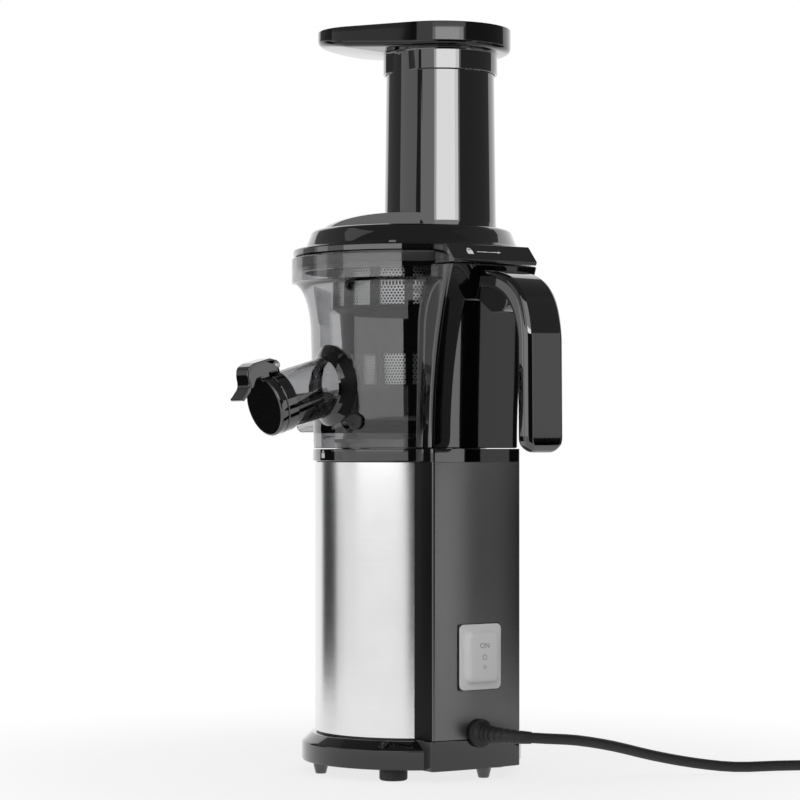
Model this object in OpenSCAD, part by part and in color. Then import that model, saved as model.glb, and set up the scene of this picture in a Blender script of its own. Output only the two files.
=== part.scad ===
// Slow juicer with a lift-off bowl, a rear column with a hanging handle and a side feeding tray.
// The origin is on the bowl axis at the floor. +Z is up, -Y is the juice spout, +X is the rear spine.

/* [Base] */
// Height of the feet under the base
foot_h = 6.7; // [5:0.1:10]
// Radius of a rubber foot
foot_r = 8; // [6:0.25:9]
// How far inside the flange's edge the feet stand
foot_in = 14; // [12:0.5:20]
// How far the base flange stands out past the sleeve
flange_out = 8; // [6:0.25:14]
// Height of the flange's upright rim
flange_h = 11.8; // [9:0.2:16]
// Height of the sloping shoulder above the rim
shoulder_h = 4.5; // [3:0.25:7]
// Wall of the base cover
base_wall = 2.5; // [2:0.1:3]

/* [Housing] */
// Outer radius of the steel sleeve
sleeve_r = 56; // [55:0.25:57]
// Thickness of the steel sleeve
sleeve_t = 0.8; // [0.5:0.1:1.2]
// Height of the steel sleeve
sleeve_h = 155.5; // [150:0.5:175]
// Wall of the motor housing
housing_wall = 2.4; // [2:0.1:3]
// Width of the rear spine
spine_w = 62; // [56:0.5:66]
// How far the spine's back edges stand behind the sleeve
spine_step = 8; // [6:0.25:12]
// How far the spine's back face bulges past its edges
spine_bulge = 2; // [1:0.1:3]
// Height of the black band over the sleeve
band_h = 7; // [6:0.2:10]
// How far the black band stands out past the sleeve
band_step = 1.5; // [1.2:0.1:3]

/* [Motor and gears] */
// Outer radius of the motor can
motor_r = 30; // [26:0.5:33]
// Height of the motor can
motor_h = 62; // [50:1:64]
// Teeth of each pinion
pinion_teeth = 10; // [10:1:11]
// Teeth of the first gear
first_teeth = 50; // [46:1:51]
// Teeth of the second gear
second_teeth = 38; // [36:1:39]
// Teeth of the output gear
output_teeth = 30; // [28:1:31]
// Clearance between the first gear and the case wall
gear_gap = 1.3; // [1:0.1:2]
// Growth of the gear module from one stage to the next
module_step = 1.25; // [1.22:0.01:1.27]
// Radius of the output shaft
shaft_r = 6; // [5.5:0.1:6.3]
// Width across the flats of the drive hexagon
hex_af = 11; // [10:0.1:11.5]
// Radius of the pins that carry the lay gears
lay_pin_r = 2; // [1.8:0.1:2.2]

/* [Switch and cord] */
// Depth of the switch centre under the top of the motor
switch_drop = 21.2; // [10:0.2:30]
// Width of the switch cover
switch_w = 28.6; // [27:0.2:30]
// Height of the switch cover
switch_h = 36.8; // [35:0.2:40]
// Swing of the switch rocker each way, in degrees
rocker_swing = 6; // [4:0.5:7]
// Diameter of the power cord
cord_d = 6; // [5.5:0.1:6.2]
// Radius of the cord gland
gland_r = 8; // [7.4:0.1:9]
// Height of the cord gland's centre over the floor
gland_z = 27; // [26:0.25:30]
// Radius of the cord coil at the middle of its turns
coil_r = 33; // [30:0.5:36]

/* [Bowl] */
// How far the bowl's foot stands out past the sleeve
bowl_step = 1; // [0.5:0.1:1.4]
// Widening of the bowl wall from its foot to its flare
bowl_taper = 1.6; // [1:0.1:3]
// How far the bowl's rim band stands out past its foot
rim_out = 12.7; // [11:0.1:14]
// Height of the bowl from its foot to its rim
bowl_h = 110; // [108:0.5:114]
// Height of the rim band
rim_h = 14.2; // [12:0.2:16]
// Height of the flare under the rim band
flare_h = 30.4; // [24:0.2:36]
// Wall of the bowl
bowl_wall = 2.4; // [2:0.1:2.8]
// Height of the bowl floor's underside over its foot
floor_lift = 8.5; // [8.2:0.1:10]
// Outer radius of the juice spout
spout_r = 16.5; // [15.5:0.1:17.2]
// Length of the juice spout tube from the bowl wall
spout_l = 41; // [38:0.5:48]
// Height of the juice spout's root over the bowl's foot
spout_lift = 36.2; // [32:0.2:40]
// Slope of the juice spout below level, in degrees
spout_slope = 16; // [10:0.5:18]
// Width of the pulp outlet
pulp_w = 24; // [20:0.5:26]
// Height of the pulp outlet
pulp_h = 24; // [20:0.5:25]
// Length of the pulp outlet from the bowl's wall
pulp_l = 48; // [38:0.5:55]

/* [Column and handle] */
// How far the column's back flares out at its top
column_flare = 18; // [14:0.5:20]
// Wall of the column
column_wall = 2.6; // [2.2:0.1:3]
// Width of the handle strap
handle_w = 26; // [22:0.5:28]
// Reach of the handle behind the spine
handle_reach = 64; // [60:0.5:68]
// Thickness of the handle strap
handle_t = 11; // [9:0.25:12]
// Height of the handle's free end over the bowl's foot
handle_low = -2.5; // [-4:0.5:4]

/* [Strainer and auger] */
// Narrowing of the strainer's cone towards its foot
strainer_taper = 5.5; // [4:0.25:7]
// Gap between the strainer's cone and the bowl's foot
strainer_gap = 15; // [14:0.25:17]
// Step from the strainer's cone to its upper band
strainer_step = 4; // [3:0.25:6]
// Wall of the strainer frame
strainer_wall = 2.2; // [1.8:0.1:2.6]
// Count of mesh windows in each row
window_count = 14; // [10:1:15]
// Radial gap between the auger's flight and the strainer
auger_gap = 0.8; // [0.6:0.1:1.5]
// Narrowing of the auger's core towards its top
auger_taper = 7; // [5:0.25:8]

/* [Lid and tray] */
// How far the lid's edge stands inside the bowl's rim
lid_in = 0.7; // [0:0.1:2]
// Wall of the lid
lid_wall = 2.4; // [2:0.1:2.8]
// Width of the lid's flat rim
dome_in = 11; // [9:0.25:13]
// Height of the feed trough over the lid's flat top
trough_h = 11; // [8:0.5:13]
// Margin between the chute's foot and the dome's edge
chute_margin = 8.5; // [7:0.25:10]
// Outer radius of the chute at its foot
chute_foot_r = 32.5; // [31.8:0.1:33]
// Outer radius of the chute at its top
chute_top_r = 31.2; // [30.5:0.1:31.6]
// Height of the chute's rim over the lid's rim
chute_h = 117.5; // [100:0.5:125]
// Wall of the chute
chute_wall = 2.2; // [1.8:0.1:2.6]
// Height of the tray's collar that sleeves the chute
collar_h = 12; // [8:0.5:16]
// Depth of the tray from its floor to its edge
tray_h = 14; // [12:0.5:18]
// Radius of the tray's end round the chute
tray_r = 41; // [38:0.5:44]
// Radius of the tray's far end
tray_tip_r = 30; // [24:0.5:34]
// Reach of the tray's far end from the chute's axis
tray_reach = 72; // [66:0.5:80]
// How far the tray's floor rises towards its far end
tray_rise = 5.5; // [3:0.25:7]

/* [Fits] */
// Radial clearance of a running shaft
run_fit = 0.05; // [0.02:0.01:0.1]
// Clearance between pieces that are fixed to each other
snug = 0.05; // [0.03:0.01:0.1]
// Clearance between pieces that move past each other
slack = 0.35; // [0.3:0.05:0.5]

/* [Hidden] */
$fn = 96;
small = 0.01;

// Heights of the base, from the floor up
floor_top = foot_h + base_wall;
rim_top = foot_h + flange_h;
shoulder_top = rim_top + shoulder_h;
sleeve_z = shoulder_top + 1;
sleeve_top = sleeve_z + sleeve_h;
band_z = sleeve_top + 0.5;
deck_z = band_z + band_h;
foot_z = deck_z + 0.4;

// Plan sizes of the housing and the spine
flange_r = sleeve_r + flange_out;
foot_ring_r = flange_r - foot_in;
band_r = sleeve_r + band_step;
spine_x = sleeve_r + spine_step;
handle_x = spine_x + handle_reach;
housing_r = sleeve_r - sleeve_t - snug;
housing_in = housing_r - housing_wall;
spine_half = spine_w / 2;
spine_wall = 2.5;
spine_front = spine_half - 1;
bulge_r = (spine_half * spine_half + spine_bulge * spine_bulge) / (2 * spine_bulge);
spine_back = spine_x + spine_bulge;

// Screws
screw_r = 1.5;
screw_head_r = 3;
screw_head_h = 2;
screw_ring_r = housing_in - 5.5;
deck_screw_angles = [90, 210, 330];
case_screw_angles = [0, 90, 180, 270];
cover_screw_angles = [45, 135, 225, 315];
base_screw_angles = [40, 160, 280];

// Feet: rubber feet and moulded pegs take turns round the base
foot_angles = [-47, 73, -167];
peg_angles = [13, 133, -107];
peg_r = [3.2, 5];
peg_ring_r = foot_ring_r + 5;
foot_stem_r = 2;

// Drive train: the gear centres stand round the motor axis, and the modules fill the case
case_gap = 4.25;
case_side = 2.4;
case_r = housing_in - case_gap;
module_1 = (case_r - case_side - gear_gap) / (pinion_teeth / 2 + first_teeth + 1);
module_2 = module_1 * module_step;
module_3 = module_2 * module_step;
motor_shaft_r = module_1 * (pinion_teeth / 2 - 1.25);
first_a = module_1 * (pinion_teeth + first_teeth) / 2;
second_a = module_2 * (pinion_teeth + second_teeth) / 2;
third_a = module_3 * (pinion_teeth + output_teeth) / 2;
lay_1_dir = 200;
lay_turn = acos((first_a * first_a + third_a * third_a - second_a * second_a) / (2 * first_a * third_a));
lay_2_dir = lay_1_dir + lay_turn;
lay_1 = first_a * [cos(lay_1_dir), sin(lay_1_dir)];
lay_2 = third_a * [cos(lay_2_dir), sin(lay_2_dir)];
step = lay_2 - lay_1;
step_dir = atan2(step[1], step[0]);

// Heights of the drive train
case_wall = 3;
shelf_h = 3;
shelf_in = case_r - 8.5;
case_screw_r = case_r - 5.5;
motor_z = floor_top + 20;
case_z = motor_z + motor_h;
case_floor = case_z + case_wall;
first_z = case_floor + 2.5;
first_w = 7;
second_z = first_z + first_w + 2.5;
second_w = 9;
output_z = second_z + second_w + 3;
output_w = 12;
cover_z = output_z + output_w + 4;
cover_t = 4;
boss_h = 26;
boss_r = 14;
cover_screw_r = case_r - 3.7;
boss_low = 0.6;
bearing_r = 11;
bearing_h = 7;
pilot_r = 9;
hex_top = foot_z + floor_lift + 18;
hex_corner = hex_af / 2 / cos(30);
seal_r = 10;
spigot_r = 16;
spigot_top = foot_z + floor_lift - 2.5;

// Switch and rear fittings
switch_z = case_z - switch_drop;
window_w = 44;
slot_w = 16;
board_t = 1.2;
board_w = 48;
board_h = 40;
relay = [4.1, 14, 12];
coil_block = [4.1, 10, 26];
switch_cut_w = switch_w - 3.4;
switch_cut_h = switch_h - 3.4;
window_top = max(case_z - shelf_h - 1, switch_z + switch_cut_h / 2 + 1);
pocket_gap = 0.5;
pocket_x = spine_back - 1.4;
terminal_l = 7;
motor_gap = 1.6;
cut_depth = pocket_x - motor_r - motor_gap - terminal_l;
bezel_t = 1.8;
pad_w = switch_w - 6.4;
pad_h = switch_h - 7.8;
pad_lift = 5;
skin = 0.8;
rocker_w = pad_w - 2 * skin - 1;
rocker_h = 25;
pivot_x = pocket_x - 4.6;
rocker_face = pocket_x + bezel_t + pad_lift - skin - rocker_h / 2 * sin(rocker_swing) - 0.6;
gland_neck_r = gland_r - 1.8;
gland_x = spine_back + 6;

// Cord route over the floor, chosen by hand
cord_r = cord_d / 2;
tie_t = 0.8;
cord_rest = cord_r + tie_t + 0.6;
route = [[gland_x, 0, gland_z], [84, 0.5, 27.2], [96.5, 6, 27], [105, 18, 26.2], [109, 36, 24.5],
    [111, 60, 20], [113, 88, 13], [118, 114, 7.6], [126, 138, cord_rest], [136, 162, cord_rest],
    [148, 186, cord_rest], [160, 209, cord_rest], [172, 232, cord_rest]];

// Coil at the cord's far end: two loops spiral in, climb a layer and spiral out again
coil_pitch = cord_d + 0.8;
coil_layer = cord_d + 0.7;
coil_turns = 4;
loop_rings = 24;
coil_out_r = coil_r + coil_pitch;
route_end = route[len(route) - 1];
route_dir = atan2(route_end[1] - route[len(route) - 2][1], route_end[0] - route[len(route) - 2][0]);
coil_lead = [cos(route_dir), sin(route_dir), 0];
coil_side = [-sin(route_dir), cos(route_dir), 0];
coil_centre = route_end + cord_d * coil_lead + coil_out_r * coil_side;
plug_t = 13.6;
plug_w = 35;
plug_l = 34;
plug_z = plug_t / 2 + 0.2;
coil_exit = 30;

// Bowl
bowl_r = sleeve_r + bowl_step;
bowl_neck_r = bowl_r + bowl_taper;
rim_r = bowl_r + rim_out;
pulp_x = bowl_r + pulp_l;
collar_out = bowl_r - 13;
collar_wall = 3;
sector_w = 24;
rim_z = foot_z + bowl_h;
band_low = rim_z - rim_h;
neck_z = band_low - flare_h;
bowl_floor = foot_z + floor_lift;
bowl_floor_t = 2.5;
chimney_r = 13.5;
chimney_in = 11.2;
chimney_h = 10;
spout_z = foot_z + spout_lift;
spout_wall = 2.2;
saddle_r = 22.5;
pulp_low = bowl_floor + 1;
chimney_top = bowl_floor + bowl_floor_t + chimney_h;
plug_angle = -68;
plug_lift = bowl_floor + bowl_floor_t + 4;
plug_stem_r = 3;
cap_r = spout_r + 1;
lever_w = 13;
lever_rib = 3.2;
lug_h = 2.2;
bayonet_angles = [30, 150, 270];
ring_l = 7;
cap_t = 5;
pin_y = spout_r + 4.5;
pin_at = spout_l - 6;
pin_r = 1.5;

// Interlock plunger, column and handle
board_x = spine_x - 2;
button_z = band_z - 8;
spring_wire = 0.35;
spring_turns = 7;
column_top = rim_z - 7.5;
column_gap = 0.05;
rod_r = 2.5;
rod_x = spine_x - 5;
rod_y = 20;
rod_travel = 2.5;
arm_top = column_top - 3;
arm_root = 9.5;
web_w = handle_w - 8;
handle_screw_z = [arm_top - 5.5, arm_top - 17.5];

// Strainer and auger
strainer_cone_r = bowl_r - strainer_gap;
strainer_foot_r = strainer_cone_r - strainer_taper;
strainer_band_r = strainer_cone_r + strainer_step;
strainer_z = bowl_floor + bowl_floor_t + 0.2;
strainer_top = rim_z - 4;
cone_top = strainer_top - 28;
window_angle = 360 / window_count - 5.7;
window_phase = -50;
high_window = [cone_top + 6, strainer_top - 3.5];
low_window = [strainer_z + 25, strainer_z + 42.5];
mesh_t = 0.4;
auger_z = strainer_z + strainer_wall + 2;
auger_top = strainer_top - 6;
auger_wall = 10.15;
auger_foot_r = chimney_r + slack + auger_wall;
auger_core_r = auger_foot_r - auger_taper;
flight_t = 5;
flight_turns = 2.2;
flight_rings = 44;
hub_r = chimney_in - slack;
tip_r = 4;
bush_r = 6.5;

// Lid and tray
lid_r = rim_r - lid_in;
dome_r = lid_r - dome_in;
chute_offset = dome_r - chute_foot_r - chute_margin;
lid_rim_h = 4.2;
lid_z = rim_z + 0.7;
lid_top = lid_z + lid_rim_h;
dome_foot_r = dome_r + 4;
dome_top = lid_top + 11.5;
trough_dir = 225;
trough_r = dome_r - 5;
trough_sink = 1.8;
chute_at = chute_offset * [cos(trough_dir - 180), sin(trough_dir - 180), 0];
chute_in = chute_top_r - chute_wall;
chute_top = lid_z + chute_h;
tray_z = chute_top + slack;
bar_w = 4;
collar_in = chute_top_r + slack + 0.15;
collar_r = collar_in + 1.5;
tray_wall = 2.2;
plug_r = lid_r - 4.5;
lug_w = spine_w - 4;

// Plain helpers
function reversed(v) = [for (i = [len(v) - 1 : -1 : 0]) v[i]];
function bezier(a, b, c, d, t) = pow(1 - t, 3) * a + 3 * pow(1 - t, 2) * t * b
    + 3 * (1 - t) * t * t * c + t * t * t * d;
function flare(u) = 1 - sqrt(max(0, 1 - u * u));
function column_x(u) = spine_x + column_flare * pow(u, 2.2);

module round_bar(r, z0, z1) {
    translate([0, 0, z0]) cylinder(r = r, h = z1 - z0);
}

module tube(r, r_in, z0, z1) {
    difference() {
        round_bar(r, z0, z1);
        round_bar(r_in, z0 - 1, z1 + 1);
    }
}

module ring_of(angles, r) {
    for (a = angles) rotate(a) translate([r, 0, 0]) children();
}

// A plate with its outline in the X-Z plane, centred on y
module side_plate(w, y = 0) {
    translate([0, y + w / 2, 0]) rotate([90, 0, 0]) linear_extrude(w) children();
}

// Plan of the rear spine: straight sides and a gently bulging back
module spine_plan(x0, inset = 0) {
    intersection() {
        translate([x0, inset - spine_half]) square([spine_back, spine_w - 2 * inset]);
        translate([spine_back - bulge_r, 0]) circle(r = bulge_r - inset, $fn = 256);
    }
}

// Bowl wall profile, outside at offset 0 and inside at offset -bowl_wall
function bowl_side(off) = concat(
    [[bowl_r + off, foot_z], [bowl_neck_r + off, neck_z]],
    [for (u = [0.2 : 0.1 : 1])
        [bowl_neck_r + off + (rim_r - bowl_neck_r) * flare(u), neck_z + u * flare_h]],
    [[rim_r + off, rim_z]]);

// Involute gear: tooth count, module, tip height and root depth in modules, all teeth a little thin
function involute(t) = t * 180 / PI - atan(t);
function flank(z, m, side, top, root, n) = let (
    rp = m * z / 2,
    rb = rp * cos(20),
    half = 90 / z - 0.07 * 180 / (PI * rp) + involute(tan(20)),
    r0 = rp - root * m,
    r1 = rp + top * m,
    radii = concat(r0 < rb ? [r0] : [], [for (i = [0 : n]) let (s = max(r0, rb)) s + (r1 - s) * i / n]))
    [for (r = radii) let (t = sqrt(max(0, (r / rb) * (r / rb) - 1))) [r, side * (half - involute(t))]];
function gear_points(z, m, top, root, n = 3) = [for (i = [0 : z - 1])
    for (p = concat(flank(z, m, -1, top, root, n), reversed(flank(z, m, 1, top, root, n))))
        p[0] * [cos(360 * i / z + p[1]), sin(360 * i / z + p[1])]];
module pinion(m, z0, z1, turn) {
    translate([0, 0, z0]) rotate(turn) linear_extrude(z1 - z0)
        polygon(gear_points(pinion_teeth, m, 0.9, 0.85));
}
module wheel(teeth, m, z0, w, turn) {
    translate([0, 0, z0]) rotate(turn) linear_extrude(w)
        polygon(gear_points(teeth, m, 0.6, 1.15));
}

// A tube swept along points, closed at both ends, with flat sides up and down
function unit(v) = v / norm(v);
function heading(p, i) = unit(p[min(i + 1, len(p) - 1)] - p[max(i - 1, 0)]);
function ring_at(p, i, r, n) =
    let (t = heading(p, i), side = unit(cross([0, 0, 1], t)), up = cross(t, side))
    [for (k = [0 : n - 1]) let (a = 360 * (k + 0.5) / n) p[i] + r * (cos(a) * side + sin(a) * up)];
module swept_tube(p, r, n) {
    last = len(p) - 1;
    polyhedron(
        points = [for (i = [0 : last]) each ring_at(p, i, r, n)],
        faces = concat(
            [[for (k = [0 : n - 1]) k]],
            [for (i = [0 : last - 1]) for (k = [0 : n - 1])
                each [[i * n + k, (i + 1) * n + k, (i + 1) * n + (k + 1) % n],
                      [i * n + k, (i + 1) * n + (k + 1) % n, i * n + (k + 1) % n]]],
            [[for (k = [n - 1 : -1 : 0]) last * n + k]]));
}

// Base and housing
module base_cover() {
    color("black") difference() {
        union() {
            rotate_extrude() polygon([[0, foot_h], [flange_r - 1.5, foot_h], [flange_r, foot_h + 1.5],
                [flange_r, rim_top], [sleeve_r + 1.6, shoulder_top], [0, shoulder_top]]);
            translate([0, 0, foot_h]) linear_extrude(sleeve_z - 0.3 - foot_h) spine_plan(spine_front);
            ring_of(peg_angles, peg_ring_r) cylinder(r1 = peg_r[0], r2 = peg_r[1], h = foot_h + small);
        }
        rotate_extrude() polygon([[0, floor_top], [flange_r - base_wall, floor_top],
            [flange_r - base_wall, rim_top - 1], [housing_r + snug, shoulder_top - 1.5],
            [housing_r + snug, shoulder_top + 2], [0, shoulder_top + 2]]);
        translate([0, 0, floor_top]) linear_extrude(30) spine_plan(spine_front - 2, spine_wall);
        translate([spine_back - 12, 0, gland_z]) rotate([0, 90, 0])
            cylinder(r = gland_neck_r + snug, h = 20);
        ring_of(foot_angles, foot_ring_r) round_bar(foot_stem_r + snug, 0, floor_top + 1);
        ring_of(base_screw_angles, screw_ring_r) {
            round_bar(screw_r + 0.2, 0, floor_top + 1);
            round_bar(screw_head_r + 0.3, 0, foot_h + screw_head_h - 1);
        }
        for (a = [0 : 30 : 330]) rotate(a) translate([20, -1.5, 0]) cube([14, 3, floor_top + 1]);
    }
}

module rubber_feet() {
    color("dimgray") ring_of(foot_angles, foot_ring_r) {
        round_bar(foot_r - 1, 0, foot_h - 3);
        round_bar(foot_r, 1, foot_h - 1.6);
        round_bar(foot_r - 2, 1, foot_h);
        round_bar(foot_stem_r, 1, floor_top + 0.5);
        round_bar(foot_stem_r + 0.6, floor_top + snug, floor_top + 2);
    }
}

module base_screws() {
    color("silver") ring_of(base_screw_angles, screw_ring_r) {
        round_bar(screw_head_r, foot_h - 1, foot_h + screw_head_h - 1 - snug);
        round_bar(screw_r, foot_h - 0.5, floor_top + 12);
    }
}

module motor_housing() {
    color("black") difference() {
        union() {
            tube(housing_r, housing_in, floor_top + snug, band_z - snug);
            tube(housing_in + 1, shelf_in, case_z - shelf_h, case_z);
            intersection() {
                ring_of(base_screw_angles, screw_ring_r) round_bar(4.5, floor_top + snug, 40);
                round_bar(housing_r, 0, 60);
            }
            intersection() {
                ring_of(deck_screw_angles, screw_ring_r)
                    round_bar(4.5, cover_z + cover_t + 4, band_z - 4.1);
                round_bar(housing_r, 0, 300);
            }
            for (a = deck_screw_angles) rotate(a) translate([housing_in - 3.5, -4.5, cover_z + cover_t + 4])
                cube([4.5, 9, band_z - 8.2 - cover_z - cover_t]);
            for (a = base_screw_angles) rotate(a) translate([housing_in - 3.5, -4.5, floor_top + snug])
                cube([4.5, 9, 40 - floor_top]);
        }
        translate([spine_half, -window_w / 2, floor_top - 1])
            cube([spine_back - spine_half, window_w, window_top - floor_top + 1]);
        translate([spine_half, window_w / 2 - slot_w, case_z + 6])
            cube([spine_back - spine_half, slot_w, band_z - case_z - 10]);
        ring_of(base_screw_angles, screw_ring_r) round_bar(screw_r + snug, 0, floor_top + 14);
        ring_of(deck_screw_angles, screw_ring_r) round_bar(screw_r + snug, band_z - 18, band_z);
        ring_of(case_screw_angles, case_screw_r) round_bar(screw_r + snug, case_z - 10, case_z + 1);
    }
}

module steel_sleeve() {
    color("silver") difference() {
        tube(sleeve_r, sleeve_r - sleeve_t, sleeve_z, sleeve_top);
        translate([20, spine_wall - spine_half, sleeve_z - 1])
            cube([60, spine_w - 2 * spine_wall, sleeve_h + 2]);
    }
}

module rear_cover() {
    color([0.13, 0.13, 0.14]) difference() {
        translate([0, 0, sleeve_z]) linear_extrude(sleeve_h) difference() {
            spine_plan(spine_front);
            spine_plan(20, spine_wall);
            circle(r = sleeve_r + snug);
        }
        translate([pocket_x, -switch_w / 2 - pocket_gap, switch_z - switch_h / 2 - pocket_gap])
            cube([10, switch_w + 2 * pocket_gap, switch_h + 2 * pocket_gap]);
        translate([pocket_x - 10, -switch_cut_w / 2 - snug, switch_z - switch_cut_h / 2 - snug])
            cube([20, switch_cut_w + 2 * snug, switch_cut_h + 2 * snug]);
        translate([spine_back - 12, 0, gland_z]) rotate([0, 90, 0])
            cylinder(r = gland_neck_r + snug, h = 20);
    }
}

// Deck under the bowl, with the drive spigot and the bayonet collar
module bayonet_sectors() {
    for (a = bayonet_angles) rotate(a) translate([0, -sector_w / 2, deck_z])
        cube([bowl_r, sector_w, sector_w]);
}
module top_deck() {
    color("black") difference() {
        union() {
            difference() {
                union() {
                    round_bar(band_r, band_z, deck_z);
                    translate([0, 0, band_z]) linear_extrude(band_h) spine_plan(spine_front);
                }
                round_bar(housing_in - 3, band_z - 1, deck_z - 4);
                translate([0, 0, band_z - 1]) linear_extrude(band_h - 3)
                    spine_plan(spine_front - 2, spine_wall);
            }
            tube(housing_in - snug, housing_in - 3, band_z - 4, deck_z - 3);
            ring_of(deck_screw_angles, screw_ring_r) round_bar(4.5, band_z - 4, deck_z - 2);
            round_bar(spigot_r, cover_z + cover_t + boss_h + 1, spigot_top);
            tube(collar_out, collar_out - collar_wall, deck_z - 1, deck_z + 6);
            intersection() {
                tube(collar_out + collar_wall, collar_out - 1, deck_z + 6 - lug_h, deck_z + 6);
                bayonet_sectors();
            }
        }
        round_bar(shaft_r + 1, 0, spigot_top + 1);
        round_bar(seal_r + snug, spigot_top - 5, spigot_top + 1);
        ring_of(deck_screw_angles, screw_ring_r) {
            round_bar(screw_r + 0.2, 0, deck_z + 1);
            round_bar(screw_head_r + 0.3, deck_z - screw_head_h - 0.3, deck_z + 1);
        }
        translate([rod_x, rod_y, 0]) {
            round_bar(rod_r + run_fit, 0, deck_z + 1);
            round_bar(rod_r + 1.5 + slack, band_z - 1, deck_z - 2);
        }
    }
}

module deck_screws() {
    color("silver") ring_of(deck_screw_angles, screw_ring_r) {
        round_bar(screw_head_r, deck_z - screw_head_h - 0.3 + snug, deck_z - 0.2);
        round_bar(screw_r, band_z - 15, deck_z - screw_head_h);
    }
}

module shaft_seal() {
    color("dimgray") rotate_extrude() polygon([[hex_corner + run_fit, spigot_top - 5],
        [seal_r, spigot_top - 5],
        [seal_r, spigot_top], [seal_r - 2, spigot_top], [seal_r - 2.5, spigot_top - 1.5],
        [hex_corner + 1, spigot_top - 1], [hex_corner + run_fit, spigot_top - 1.5]]);
}

// Motor: can, end cap, magnets, brushes, rotor and fan
module motor_can() {
    color("gray") difference() {
        union() {
            tube(motor_r, motor_r - 1.6, motor_z, motor_z + motor_h);
            round_bar(motor_r, motor_z + motor_h - 1.6, motor_z + motor_h);
            round_bar(pilot_r - snug, motor_z + motor_h - 6, case_z + 2);
        }
        round_bar(motor_shaft_r + run_fit, 0, case_z + 5);
        tube(motor_r - 1.6, pilot_r + 3, motor_z - 1, motor_z + motor_h - 1.6);
        round_bar(pilot_r + 4, motor_z - 1, motor_z + motor_h - 6);
    }
}

module motor_end_cap() {
    color("beige") difference() {
        union() {
            round_bar(motor_r, motor_z - 3, motor_z - snug);
            tube(motor_r - 1.6 - snug, motor_r - 5, motor_z - 1, motor_z + 4);
            round_bar(8, motor_z - 5, motor_z + 2);
        }
        round_bar(motor_shaft_r + run_fit, 0, 100);
        for (a = [0, 180]) rotate(a) translate([10, -3, motor_z - 4]) cube([9, 6, 10]);
    }
}

module motor_magnets() {
    color("dimgray") for (a = [0, 180]) rotate(a) intersection() {
        tube(motor_r - 1.6 - snug, motor_r - 5.6, motor_z + 14, motor_z + motor_h - 10);
        translate([0, -motor_r * 2 / 3, 0]) cube([motor_r, motor_r * 4 / 3, case_z]);
    }
}

module motor_brushes() {
    color("darkgoldenrod") for (a = [0, 180]) rotate(a)
        translate([10 + snug, -3 + snug, motor_z - 3]) cube([9 - 2 * snug, 6 - 2 * snug, 9]);
}

module motor_rotor() {
    color("sienna") {
        round_bar(motor_shaft_r, motor_z - 16, first_z + 1);
        pinion(module_1, first_z - 1, first_z + first_w + 1, lay_1_dir);
        round_bar(9.6, motor_z + 3.5, motor_z + 11);
        difference() {
            round_bar(motor_r - 6.4, motor_z + 16, motor_z + motor_h - 12);
            for (a = [0 : 45 : 315]) rotate(a) translate([motor_r - 14, -1, motor_z]) cube([9, 2, motor_h]);
        }
        round_bar(18, motor_z + 11, motor_z + 17);
        round_bar(18, motor_z + motor_h - 13, motor_z + motor_h - 7.5);
    }
}

module motor_fan() {
    color("black") {
        tube(6, motor_shaft_r + snug, motor_z - 15, motor_z - 6.5);
        tube(motor_r - 4, 5, motor_z - 8, motor_z - 6.5);
        for (a = [0 : 40 : 320]) rotate(a) translate([5, -0.8, motor_z - 15])
            cube([motor_r - 9, 1.6, 8]);
    }
}

// Gearbox: case, cover, pins and three stages of gears
module gearbox_case() {
    color("gray") difference() {
        union() {
            difference() {
                round_bar(case_r, case_z + snug, cover_z - snug);
                round_bar(case_r - case_side, case_floor, cover_z + 1);
            }
            ring_of(cover_screw_angles, cover_screw_r) round_bar(3.2, case_floor - 1, cover_z - boss_low);
        }
        round_bar(pilot_r, 0, case_floor + 1);
        for (p = [lay_1, lay_2]) translate(p) round_bar(lay_pin_r + snug, 0, case_floor + 1);
        ring_of(cover_screw_angles, cover_screw_r) round_bar(screw_r + snug, cover_z - 12, cover_z + 1);
        ring_of(case_screw_angles, case_screw_r) round_bar(screw_r + 0.2, 0, case_floor + 1);
    }
}

module gearbox_cover() {
    color("gray") difference() {
        union() {
            round_bar(case_r, cover_z, cover_z + cover_t);
            round_bar(boss_r, cover_z, cover_z + cover_t + boss_h);
            for (p = [lay_1, lay_2]) translate(p) round_bar(5, cover_z - 3, cover_z + cover_t);
            translate(lay_1) round_bar(lay_pin_r + 1.6, second_z + second_w + 1 + slack, cover_z + 1);
        }
        round_bar(shaft_r + 0.5, 0, 300);
        round_bar(bearing_r + snug, cover_z - 1, cover_z + bearing_h);
        round_bar(bearing_r + snug, cover_z + cover_t + boss_h - bearing_h, 300);
        for (p = [lay_1, lay_2]) translate(p) round_bar(lay_pin_r + snug, 0, cover_z + 2.5);
        ring_of(cover_screw_angles, cover_screw_r) round_bar(screw_r + 0.2, 0, 300);
    }
}

module gearbox_screws() {
    color("silver") {
        ring_of(cover_screw_angles, cover_screw_r) {
            round_bar(screw_r, cover_z - 10, cover_z + cover_t + 0.5);
            round_bar(screw_head_r - 0.3, cover_z + cover_t + snug, cover_z + cover_t + 1.5);
        }
        ring_of(case_screw_angles, case_screw_r) {
            round_bar(screw_r, case_z - shelf_h + 0.2, case_floor + 0.5);
            round_bar(screw_head_r - 0.3, case_floor + snug, case_floor + 1.5);
        }
    }
}

module lay_pins() {
    color("silver") for (p = [lay_1, lay_2]) translate(p) round_bar(lay_pin_r, case_z + 0.4, cover_z + 2.4);
}

module first_gear() {
    color("ivory") translate(lay_1) difference() {
        union() {
            wheel(first_teeth, module_1, first_z, first_w, lay_1_dir + 180 + 180 / first_teeth);
            pinion(module_2, first_z + first_w - small, second_z + second_w + 1, step_dir);
            round_bar(4, case_floor + slack, first_z + 1);
        }
        round_bar(lay_pin_r + run_fit, 0, 300);
    }
}

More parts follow.
